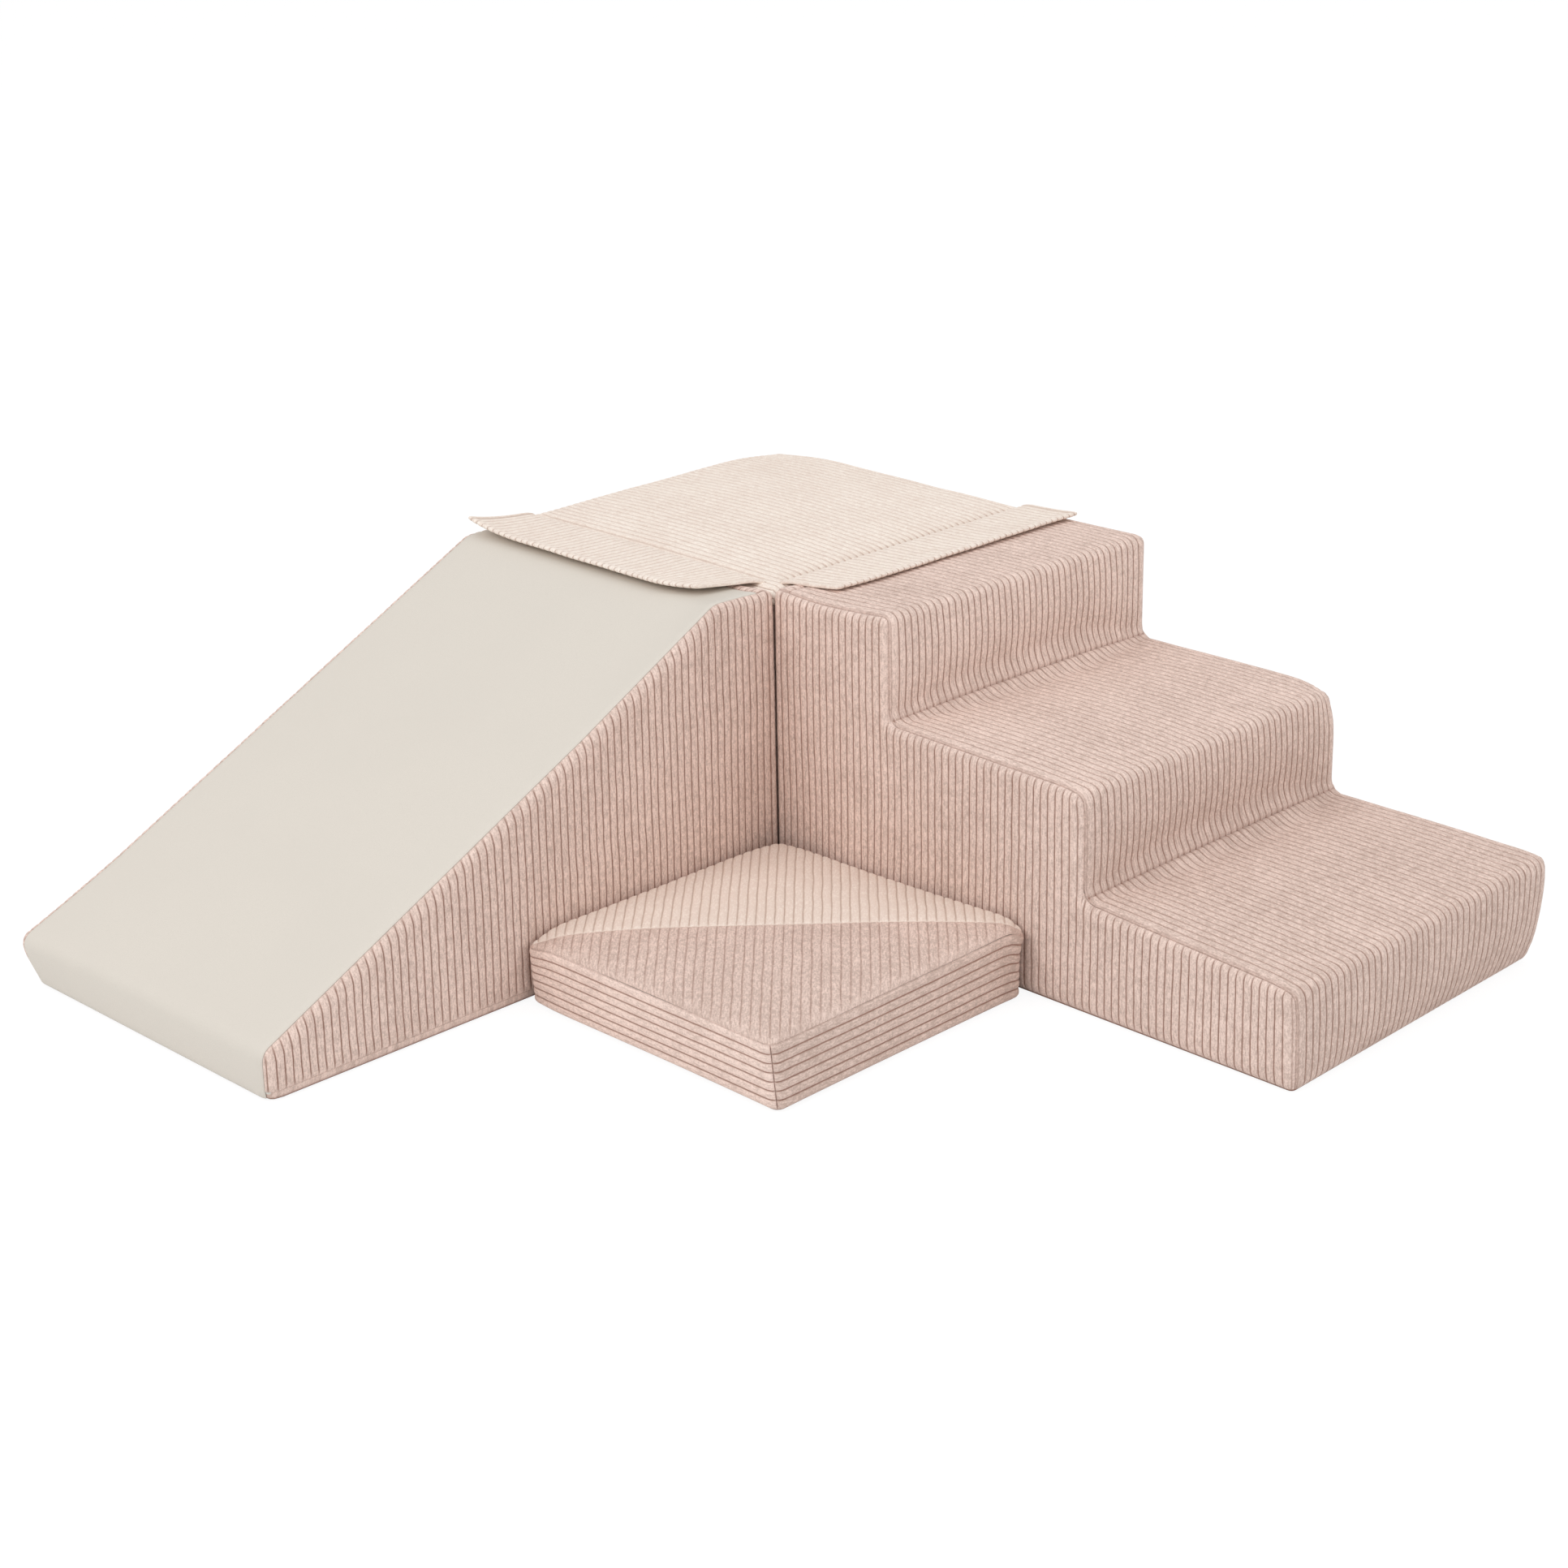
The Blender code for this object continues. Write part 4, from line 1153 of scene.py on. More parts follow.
def box_into(work: Work, low: Corner, high: Corner, rounding: float = 0.0, material: int = 0) -> None:
    """Add a box with worn edges to a bmesh."""
    low_v, high_v = Vector(low), Vector(high)
    made = bmesh.ops.create_cube(work, size=1)["verts"]
    bmesh.ops.scale(work, vec=high_v - low_v, verts=made)
    bmesh.ops.translate(work, vec=(low_v + high_v) / 2, verts=made)
    for face in {face for vert in made for face in vert.link_faces}:
        face.material_index = material
    if rounding:
        worn_edges(work, list({edge for vert in made for edge in vert.link_edges}), rounding, 2)


@dataclass(frozen=True)
class Zip:
    """A zip seen in its slot: woven tape, coil teeth, end stops and a slider without a pull tab."""

    length: float = 0.320
    tape_width: float = 0.024
    tape_thickness: float = 0.0010
    tape_face: float = -0.0027
    parting: float = 0.0004
    wear: float = 0.0003
    tooth_pitch: float = 0.0020
    tooth_half: float = 0.0006
    tooth_width: float = 0.0030
    tooth_height: float = 0.0014
    tooth_shift: float = 0.0007
    stop_length: float = 0.003
    stop_clear: float = 0.0003
    stop_half: float = 0.0040
    stop_face: float = -0.0002
    slider_length: float = 0.014
    slider_width: float = 0.009
    slider_plate: Pair = (-0.0008, 0.0002)
    rail_width: float = 0.0012
    rail_top: float = -0.0005
    bridge_share: float = 0.75
    bridge_half: float = 0.0016
    slider_foot: float = -0.0024
    slider_stand_out: float = 0.0016
    travel: float = 0.2994
    slot_height: float = 0.0096

    def slot(self, middle: float, height: float) -> Hole:
        """Its slot, by place along a panel and height."""
        half, half_height = self.length / 2, self.slot_height / 2
        return Hole((middle - half, middle + half), (height - half_height, height + half_height))

    def build(self, block: Block, centre: Corner, side: int) -> None:
        """Build the tape with its coil and the slider, with x along the zip, y up and z out of the face.

        Args:
            block: The block whose cover it closes.
            centre: The middle of the slot, on the cover's face.
            side: The side of the block that it is on, 1 or -1.
        """
        up, outward = Vector((0, 0, 1)), Vector((0, side, 0))
        turn = Matrix((up.cross(outward), up, outward)).transposed().to_4x4()
        place = block.stand.matrix() @ Matrix.Translation(centre) @ turn
        tape = work_mesh("tape", self.tape)
        tape.transform(place)
        add_piece(f"{block.name}_zip", tape, [TAPE, COIL], block.name, f"{block.name}_zip_tape", False)
        slider = work_mesh("slider", self.slider)
        slider.transform(place @ Matrix.Translation((-self.travel / 2, 0, 0)))
        name = f"{block.name}_zip_slider"
        add_piece(f"{name}_body", slider, [SLIDER], name, name)

    def tape(self, work: Work) -> None:
        """The woven tape, its teeth and its two end stops."""
        half_tape = self.tape_width / 2
        end = self.length / 2 + half_tape
        back = self.tape_face - self.tape_thickness
        for low, high in ((-half_tape, -self.parting), (self.parting, half_tape)):
            box_into(work, (-end, low, back), (end, high, self.tape_face), self.wear)
        run = self.length / 2 - self.stop_length
        for k in range(int(run * 2 / self.tooth_pitch)):
            x = -run + (k + 0.5) * self.tooth_pitch
            y = self.tooth_shift if k % 2 else -self.tooth_shift
            low = (x - self.tooth_half, y - self.tooth_width / 2, self.tape_face)
            high = (x + self.tooth_half, y + self.tooth_width / 2, self.tape_face + self.tooth_height)
            box_into(work, low, high, self.wear, 1)
        for sign in (-1, 1):
            ends = sorted((sign * run, sign * (self.length / 2 - self.stop_clear)))
            low, high = (ends[0], -self.stop_half, self.tape_face), (ends[1], self.stop_half, self.stop_face)
            box_into(work, low, high, 0.0005, 1)

    def slider(self, work: Work) -> None:
        """The slider: a plate with a rail down each long side and a low bridge on top."""
        half, wide = self.slider_length / 2, self.slider_width / 2
        bottom, top = self.slider_plate
        box_into(work, (-half, -wide, bottom), (half, wide, top), 0.0004)
        for sign in (-1, 1):
            ends = sorted((sign * wide, sign * (wide - self.rail_width)))
            low, high = (-half, ends[0], self.slider_foot), (half, ends[1], self.rail_top)
            box_into(work, low, high, self.wear)
        run, side = half * self.bridge_share, self.bridge_half
        box_into(work, (-run, -side, 0.0), (run, side, self.slider_stand_out), 0.0005)


def seam_dip(distance: Array) -> Array:
    """How far the platform's top lies lower at a distance from a flap's seam."""
    return FLAP_SEAM_DEPTH * np.exp(-np.abs(distance) / FLAP_SEAM_REACH)


@dataclass
class Platform:
    """The platform block: light ribbed top, four walls, base, foam and a zip at the back."""

    corner: Pair
    size: float = 0.500
    height: float = 0.420
    crown: float = 0.008
    corner_droop: float = 0.007
    corner_pull: float = 0.010
    corner_reach: float = 0.045
    top_drop: float = 0.0017
    seam_at: float = 0.025
    seam_from: float = 0.009
    seam_short: float = 0.012
    seam_fade: float = 0.02
    seam_steps: Row = (-0.016, -0.011, -0.007, -0.004, -0.002, -0.0008, 0.0, 0.0008, 0.002)
    wall_clear: float = 0.0003
    walls: tuple[str, ...] = ("ramp_side", "stair_side", "outer", "back")

    def __post_init__(self) -> None:
        """Set the block up."""
        half = self.size / 2
        stand = Stand(self.corner[0] - half, self.corner[1] + half)
        self.block = Block("platform", stand, self.soften)

    def soften(self, points: Array) -> Array:
        """The block's soft shape: a crowned top and a drooping back corner."""
        x, y, z = split(points)
        half = self.size / 2
        share = np.maximum(z / self.height, 0)
        soft = bell(np.hypot(x + half, y - half) / self.corner_reach) * np.minimum(share, 1) ** 2
        pull = self.corner_pull * soft * math.sqrt(0.5)
        crown = self.crown * (1 - within(np.abs(x) / half) ** 2) * (1 - within(np.abs(y) / half) ** 2)
        rise = crown * share - self.corner_droop * soft
        return np.stack([x + pull, y - pull, z + rise], axis=-1)

    def build(self) -> None:
        """Build the block's pieces."""
        block, half = self.block, self.size / 2
        box = (-half, half, 0.0, self.height)
        block.foam("platform_foam", "platform_foam_core", box, block.edge - FOAM_INSET, 5, self.soften)
        seam_x = half - self.seam_at
        extra = ([seam_x + step for step in self.seam_steps], (-seam_x,))
        top = block.lid(half, 0.0, self.height, block.edge, self.top_drop, extra=extra)
        self.mark_flap_seams(top)
        sewing = Sewing(seed=11, lump=0.0011, seam_shade=0.0065, groove_share=0.85)
        block.panel("platform_top_cover", "platform_top_panel", [top], LIGHT, sewing)
        roof = self.height - block.edge - self.top_drop - self.wall_clear
        zipper = Zip()
        for side, kind in zip((Side.FRONT, Side.RIGHT, Side.LEFT, Side.BACK), self.walls):
            hole = zipper.slot(0.0, ZIP_HEIGHT) if side is Side.BACK else None
            grid = block.wall(block.edge, side, (block.base_seam, roof), True, hole)
            name = f"platform_{kind}_cover"
            block.panel(name, f"platform_{kind}_wall", [grid], ROSE, Sewing(seed=12 + len(name)), hole)
        block.base(half, 0.0)
        zipper.build(block, (0, half, ZIP_HEIGHT), 1)

    def mark_flap_seams(self, top: ClothGrid) -> None:
        """Draw the top's cloth down along the two seams that hold the flaps."""
        x = top.points[..., 0] - self.corner[0]
        y = top.points[..., 1] - self.corner[1]
        near, far = self.seam_at + self.seam_from, self.size - self.seam_short
        for line, run, closeness in ((x + self.seam_at, y, 0.5), (y - self.seam_at, -x, 1.0)):
            inside = within((run - near) / self.seam_fade) * within((far - run) / self.seam_fade)
            top.points[..., 2] -= seam_dip(line) * inside
            # The seams' distances also set the painted shade along them, reaching twice as far beside the
            # right flap's seam.
            top.seam = np.where(inside > 0.5, np.minimum(top.seam, np.abs(line) * closeness), top.seam)


@dataclass
class Ramp:
    """The slide ramp: smooth coated sheet between two ribbed sides."""

    corner: Pair
    length: float = 0.820
    flat_top: float = 0.095
    nose: float = 0.062
    height: float = 0.420
    knee_radius: float = 0.040
    nose_radius: float = 0.022
    seam: float = 0.009
    back_seam: float = 0.020
    hem: float = 0.0035
    lip_inset: float = 0.003
    gap: float = 0.0006
    zip_at: float = 0.333
    foot_softness: float = 5.0
    foot_clear: float = 0.003
    corner_reach: float = 0.150
    corner_out: float = 0.008
    corner_foot_in: float = 0.013
    corner_height: float = 0.050
    full_rows_from: float = 0.060
    slot_share: float = 0.35
    top_rows: Row = (0.036, 0.031, 0.026, 0.021, 0.0165, 0.0125, 0.009, 0.006, 0.0035, 0.0015, 0.0)
    full_reach: float = 0.050
    full_at: Row = (0.0, 0.050, 0.095, 0.320)
    full_rise: Row = (0.006, 0.010, 0.012, 0.0)

    def __post_init__(self) -> None:
        """Set the block up."""
        stand = Stand(self.corner[0] - Block.width / 2, self.corner[1] - self.gap, -math.pi / 2)
        self.block = Block(
            "ramp", stand, self.soften, base_seam=0.0125, tuck=0.002, pressed_height=self.height
        )

    def far_corner(self, points: Array) -> tuple[Array, Array]:
        """How near a place is to the far corner of the foot, and how high up that corner it is."""
        x, y, z = split(points)
        far = within(1 - (y + self.block.half) / self.corner_reach)
        front = within(1 - (self.length - x) / self.corner_reach)
        rise = within(z / self.corner_height)
        return (far * front) ** 1.5, smooth(rise)

    def draw_foot(self, points: Array) -> Array:
        """The far corner of the foot drawn in at the floor."""
        near, rise = self.far_corner(points)
        drawn = points.copy()
        drawn[..., 1] += self.corner_foot_in * near * (1 - rise)
        return drawn

    def soften(self, points: Array) -> Array:
        """The far corner of the foot bulges over its drawn-in base, and the inner knee is full."""
        near, rise = self.far_corner(points)
        drawn = self.draw_foot(points)
        out = self.corner_out * near * rise
        drawn[..., 0] += out
        drawn[..., 1] -= out
        x, y, z = split(points)
        surface = np.interp(x, (0, self.flat_top, self.length), (self.height, self.height, self.nose))
        inner = within(1 - (self.block.half - y) / self.full_reach) ** 2
        drawn[..., 2] += np.interp(x, self.full_at, self.full_rise) * inner * within(z / surface) ** 6
        return drawn

    def build(self) -> None:
        """Build the block's pieces."""
        block = self.block
        edge, floor, inset, height = block.edge, block.base_seam, FOAM_INSET, self.height
        box, top = (0.0, self.length, 0.0, height), height - inset
        slope = [(self.length - inset, self.nose - 2 * inset), (self.flat_top, top), (inset, top)]
        block.foam("ramp_foam", "ramp_foam_core", box, 0.010, 0, self.draw_foot, slope)
        knee, nose = (self.flat_top, height, self.knee_radius), (self.length, self.nose, self.nose_radius)
        sheet_line = Outline([(self.back_seam, height, 0), knee, nose, (self.length, self.hem, 0)])
        sheet = block.strip(sheet_line, self.seam, ribs=None)
        sewing = Sewing(None, seed=21, valley=0.0012, valley_reach=0.0025, lump=0.0009, lump_length=0.22)
        block.panel("slide_cover", "slide_sheet", [sheet], COATED, sewing)
        back_line = Outline([(0, floor, 0), (0, height, edge), (self.back_seam, height, 0)])
        back = block.strip(back_line, self.seam)
        block.panel("ramp_back_cover", "ramp_back_wall", [back], ROSE, Sewing(seed=22))
        corners = [(0, 0, 0), (0, height, edge), knee, nose, (self.length, 0, 0)]
        chain = Outline(inset_corners(corners, edge), FINE_TURN)
        reach = edge * math.acos((edge - self.seam) / edge)
        zipper, middle = Zip(), self.length * self.zip_at
        for side, kind in ((1, "ramp_inner"), (-1, "ramp_outer")):
            hole = zipper.slot(middle, ZIP_HEIGHT) if side < 0 else None
            x = Ribs().lines(edge - reach, self.length - edge + reach, 0.0, hole.across if hole else ())
            rows = self.panel_rows(self.panel_top(chain, x, reach) - floor, hole.along if hole else ())
            flat = np.stack([np.broadcast_to(x[:, None], rows.shape), rows + floor], axis=-1)
            ends = np.minimum(x - x[0], x[-1] - x)[:, None]
            seam = rows * self.foot_softness + self.foot_clear
            grid = block.side_grid(chain, side, flat, reach, seam, np.minimum(ends, rows))
            sewing = Sewing(seed=24 + side, drift=0.0015, shade=0.45, valley=0.0009, seam_shade=0.0028)
            block.panel(f"{kind}_cover", f"{kind}_side", [grid], ROSE, sewing, hole)
        half = (self.length - self.lip_inset) / 2
        block.base(half, half)
        zipper.build(block, (middle, -block.half, ZIP_HEIGHT), -1)

    def panel_top(self, chain: Outline, x: Array, reach: float) -> Array:
        """The height of a side panel's upper seam in its flat cut, by place along."""
        upper = chain.facings[:, 1] > MERGE
        line = (chain.spots + chain.facings * reach)[upper]
        order = np.argsort(line[:, 0], kind="stable")
        return np.interp(x, line[order, 0], line[order, 1])

    def panel_rows(self, heights: Array, extra_z: Sequence[float]) -> Array:
        """Heights of the rows above the lower seam, closer together over the rounded edge.

        Args:
            heights: The panel's height at each column.
            extra_z: Heights above the floor that every tall enough column has.

        Returns:
            The heights, by column and row.
        """
        share = np.minimum(heights / self.full_rows_from, 1)[:, None]
        start = np.array([[0.0, *END_ROWS]]) * share
        end = heights[:, None] - np.array([self.top_rows]) * share
        if len(extra_z):
            levels = np.array(extra_z) - self.block.base_seam
            kept = levels[None] * np.minimum(heights * self.slot_share / levels[-1], 1)[:, None]
            lead = start[:, -1:] + (kept[:, :1] - start[:, -1:]) * np.linspace(0, 1, 4)[None, 1:-1]
            start = np.concatenate([start, lead, kept], axis=1)
        inner = start[:, -1:] + (end[:, :1] - start[:, -1:]) * np.linspace(0, 1, 25)[None, 1:-1]
        return np.concatenate([start, inner, end], axis=1)


@dataclass(frozen=True)
class StepShape:
    """How a soft step differs from a straight one, on the near and on the far side.

    The crease and the nose stand higher by their values, and the nose stands out by its own.
    """

    crease: Pair
    nose: Pair
    out: Pair = (0.0, 0.0)
    bend: float = 1.0


@dataclass
class Stairs:
    """The stair block: one tread and riser strip between two sides, with three foam slabs."""

    corner: Pair
    steps: int = 3
    rise: float = 0.140
    top_depth: float = 0.196
    depth: float = 0.318
    gap: float = 0.0006
    side_seam: float = 0.006
    end_seam: float = 0.020
    toe_draw: float = 0.018
    toe_reach: float = 0.090
    crease_loose: float = 0.042
    loose_from: float = 0.262
    loose_over: float = 0.16
    loose_far: float = 0.35
    loose_near: float = 0.62
    puff: float = 0.0035
    puff_reach: float = 0.10
    crease_depth: float = 0.0030
    side_softness: float = 3.0
    full_corner: float = 0.005
    full_reach: float = 0.035
    shapes: tuple[StepShape, ...] = (
        StepShape((0.006, 0.008), (-0.015, 0.007), (-0.004, 0.006)),
        StepShape((0.011, 0.005), (0.003, 0.007)),
        StepShape((0.0, 0.0), (0.011, 0.004), bend=2.0),
    )
    worn: tuple[tuple[int, int, float, float], ...] = (
        (2, 1, 0.024, 0.010), (1, 1, 0.014, 0.003), (2, -1, 0.016, 0.004), (1, -1, 0.016, 0.003),
    )
    # Painted light and shade by step: lighter or darker risers and treads, as the light falls on each.
    riser_painted_light: Row = (-0.25, -0.22, 0.08)
    tread_painted_light: Row = (-0.12, -0.02, -0.02)
    zip_at: float = 0.333
    fillet_shares: Row = (0.012, 0.03, 0.06, 0.12)
    level_shares: Row = (
        0.012, 0.03, 0.06, 0.12, 0.2, 0.29, 0.38, 0.47, 0.56, 0.65, 0.73, 0.79, 0.84, 0.885, 0.92, 0.95,
        0.975, 0.99, 1.0,
    )
    crease_rows: Row = (0.1, 0.2, 0.29, 0.36, 0.41, 0.445, 0.465, 0.482)
    crease_line: float = 0.0035
    slab_gap: float = 0.0008
    slot_from: float = 0.1
    edge: float = 0.013

    def __post_init__(self) -> None:
        """Set the block up."""
        self.length = self.top_depth + (self.steps - 1) * self.depth
        self.height = self.steps * self.rise
        stand = Stand(self.corner[0] + self.gap, self.corner[1] + Block.width / 2)
        edge = self.edge
        self.block = Block(
            "stairs", stand, self.soften, edge=edge, base_seam=0.0035, tuck=0.005, pressed_height=self.height
        )
        self.reach = edge * math.acos((edge - self.side_seam) / edge)
        self.side_fillet = self.fillet_shares[-1] * (self.rise - self.reach)
        self.crease_tight = self.side_fillet + self.reach - edge

    def nose(self, step: int) -> float:
        """How far a step's nose stands from the platform, the lowest step being 1."""
        return self.length - (step - 1) * self.depth

    def soften(self, points: Array) -> Array:
        """The steps' soft shape: slanting creases, worn noses, a drawn-in toe and a full top corner."""
        half = self.block.half
        x, y, z = split(points)
        end = smooth(within((x - self.length + self.toe_reach) / self.toe_reach))
        far = (y / half + 1) / 2
        low = np.maximum(1 - z / self.rise, 0) ** 3
        drawn = points.copy()
        height = np.clip(z / self.rise, 0, self.steps)
        for step, shape in enumerate(self.shapes, 1):
            start = 0.0 if step == self.steps else self.nose(step + 1)
            share = within((x - start) / (self.nose(step) - start)) ** shape.bend
            crease, nose, out = (a + (b - a) * far for a, b in (shape.crease, shape.nose, shape.out))
            part = np.maximum(1 - np.abs(height - step), 0)
            drawn[..., 2] += (crease + (nose - crease) * share) * part
            drawn[..., 0] += out * share * part
        drawn[..., 0] -= self.toe_draw * end * far * low
        for step, end_of_nose, reach, wear in self.worn:
            spot = np.array([self.nose(step), end_of_nose * half, step * self.rise])
            near = bell(np.linalg.norm(points - spot, axis=-1) / reach)
            drawn[..., 0] -= wear * near
            drawn[..., 2] -= wear * near
        away = np.linalg.norm(points - np.array([0, -half, self.height]), axis=-1)
        drawn[..., 2] += self.full_corner * bell(away / self.full_reach)
        return drawn

    def profile(self, crease: float) -> list[Corner]:
        """The corners of the side outline from the platform down to the floor."""
        corners = []
        for step in range(self.steps, 0, -1):
            if step < self.steps:
                corners.append((self.nose(step + 1), step * self.rise, crease))
            corners.append((self.nose(step), step * self.rise, self.edge))
        return corners

    def build(self) -> None:
        """Build the block's pieces."""
        block = self.block
        edge, floor, inset = block.edge, block.base_seam, FOAM_INSET
        for step in range(1, self.steps + 1):
            low = 0.0 if step == 1 else (step - 1) * self.rise - 3 * inset + self.slab_gap
            box = (0.0, self.nose(step), low, step * self.rise)
            name, node = f"stairs_foam_{step}", f"stair_foam_slab_{step}"
            block.foam(name, node, box, edge - inset + 0.001, 2, self.soften)
        start, end = (self.end_seam, self.height, 0), (self.length, floor, 0)
        tight_corners = self.profile(self.crease_tight)
        tight = Outline([start, *tight_corners, end])
        loose = Outline([start, *self.profile(self.crease_loose), end])
        creases = [i for i, stretch in enumerate(tight.stretches) if stretch[:2] in tight.arcs[1::2]]
        steps = np.array(self.crease_rows)
        sewn = dict.fromkeys(creases, np.array([0.0, *steps, 0.5, *(1 - steps[::-1]), 1.0]))
        strip = block.strip(tight, self.side_seam, loose, self.crease_share, sewn=sewn)
        strip.painted_light = self.lean(strip)
        self.mark_creases(strip, tight)
        sewing = Sewing(seed=41, valley=0.0010)
        block.panel("tread_and_riser_cover", "tread_and_riser_strip", [strip], ROSE, sewing)
        wall = block.strip(Outline([(0, floor, 0), (0, self.height, edge), start]), self.side_seam)
        block.panel("stairs_end_cover", "stairs_end_wall", [wall], ROSE, Sewing(seed=42))
        corners = [(0, 0, 0), (0, self.height, edge), *tight_corners, (self.length, 0, 0)]
        chain = Outline(inset_corners(corners, edge), FINE_TURN)
        zipper, middle = Zip(), self.length * self.zip_at
        for side, kind in ((-1, "stairs_inner"), (1, "stairs_outer")):
            hole = zipper.slot(middle, ZIP_HEIGHT) if side > 0 else None
            grids = [self.side_section(chain, side, step, hole) for step in range(1, self.steps + 1)]
            sewing = Sewing(seed=44 + side, drift=0.0025, valley=0.0006, shade=0.35, seam_shade=0.0028)
            block.panel(f"{kind}_cover", f"{kind}_side", grids, ROSE, sewing, hole)
        block.base(self.length / 2, self.length / 2)
        zipper.build(block, (middle, block.half, ZIP_HEIGHT), 1)

    def lean(self, strip: ClothGrid) -> Array:
        """Painted light and shade on the strip: its risers and treads lighter or darker by step, as the light
        falls on them.
        """
        riser = within(strip.normals[..., 0]) ** 2
        level = strip.points[..., 2] / self.rise
        step = np.arange(1, self.steps + 1)
        risers, treads = np.interp(level, step - 0.5, self.riser_painted_light), np.interp(level, step, self.tread_painted_light)
        return risers * riser + treads * (1 - riser)

    def crease_share(self, across: Array) -> Array:
        """How loosely the cloth bridges the creases, by place across: tight at both side seams."""
        share = smooth(within((self.loose_from - np.abs(across)) / self.loose_over))
        far = within((across + self.block.half) / self.loose_far)
        return share * (self.loose_near + (1 - self.loose_near) * far)

    def mark_creases(self, strip: ClothGrid, line: Outline) -> None:
        """Draw the cloth down along the sewn line in each crease, and puff the stretches between."""
        for low, high, turns in line.stretches:
            share = within((strip.along - low) / (high - low))
            inside = (strip.along > low) & (strip.along < high) & (turns == 0)
            rise = np.where(inside, self.puff * 4 * share * (1 - share), 0)
            edge = within((self.block.half - np.abs(strip.across)) / self.puff_reach)
            strip.points = strip.points + strip.normals * (rise * edge * (2 - edge))[..., None]
        strip.seam = strip.seam * self.side_softness
        share = self.crease_share(strip.across)
        width = (self.crease_tight * (1 - share) + self.crease_loose * share) * math.pi / 2
        for low, high in line.arcs[1::2]:
            at = (strip.along - low) / (high - low)
            out = np.maximum(at - 1, 0) + np.maximum(-at, 0)
            sewn = np.abs(within(at) - 0.5) * width + out * (high - low)
            dip = self.crease_depth * share * np.exp(-sewn / self.crease_line)
            strip.points = strip.points - strip.normals * dip[..., None]
            # The crease lines also set the painted shade: a dark line with darker dots at the grooves, for
            # the shade in each crease.
            strip.seam = np.minimum(strip.seam, sewn)
            strip.fade = np.minimum(strip.fade, sewn)

    def side_section(self, chain: Outline, side: int, step: int, hole: Hole | None) -> ClothGrid:
        """The part of a side panel under one tread.

        Args:
            chain: The side outline moved in by the edge's radius.
            side: 1 or -1, the side of the block.
            step: The step, the lowest being 1.
            hole: The slot for a zip.

        Returns:
            The grid.
        """
        edge, floor, reach = self.block.edge, self.block.base_seam, self.reach
        right_centre = self.nose(step) - edge
        left = edge - reach if step == self.steps else self.nose(step + 1) - edge + reach
        right = right_centre + reach
        wanted = [x for x in (hole.across if hole else ()) if left < x < right]
        x = Ribs().lines(left, right, 0.0, wanted)
        level = [floor] + [k * self.rise - edge + reach for k in range(1, step + 1)]
        past = np.maximum(x - right_centre, 0)
        if step == self.steps:
            past = np.maximum(past, edge - x)
        top = level[-1] - reach + np.sqrt(np.maximum(reach**2 - past**2, 0))
        rows = [np.full_like(x, floor)]
        for k in range(1, step + 1):
            high = top if k == step else np.full_like(x, level[k])
            rows.extend(level[k - 1] + (high - level[k - 1]) * share for share in self.level_shares)
        if step < self.steps:
            inside = np.minimum(left + self.side_fillet - x, self.side_fillet)
            fillet = self.side_fillet - np.sqrt(self.side_fillet**2 - np.maximum(inside, 0) ** 2)
            rows.extend(top + fillet * share / self.fillet_shares[-1] for share in self.fillet_shares)
        z = np.stack(rows, axis=1)
        for height in hole.along if hole else ():
            pick = int(np.abs(z[0] - height).argmin())
            z[:, pick] = np.where(z[:, -1] > self.slot_from, height, z[:, pick])
        flat = np.stack([np.broadcast_to(x[:, None], z.shape), z], axis=-1)
        fade = np.maximum(right - x, 0)[:, None] * self.block.parallel_fade + np.maximum(level[-2] - z, 0)
        return self.block.side_grid(chain, side, flat, reach, z - floor, fade)


@dataclass(frozen=True)
class SoftCorner:
    """A corner of the mat that gives way: its place as signs, and how far it pulls in, droops and rises."""

    x: int
    y: int
    reach: float
    pull: float
    droop: float
    rise: float


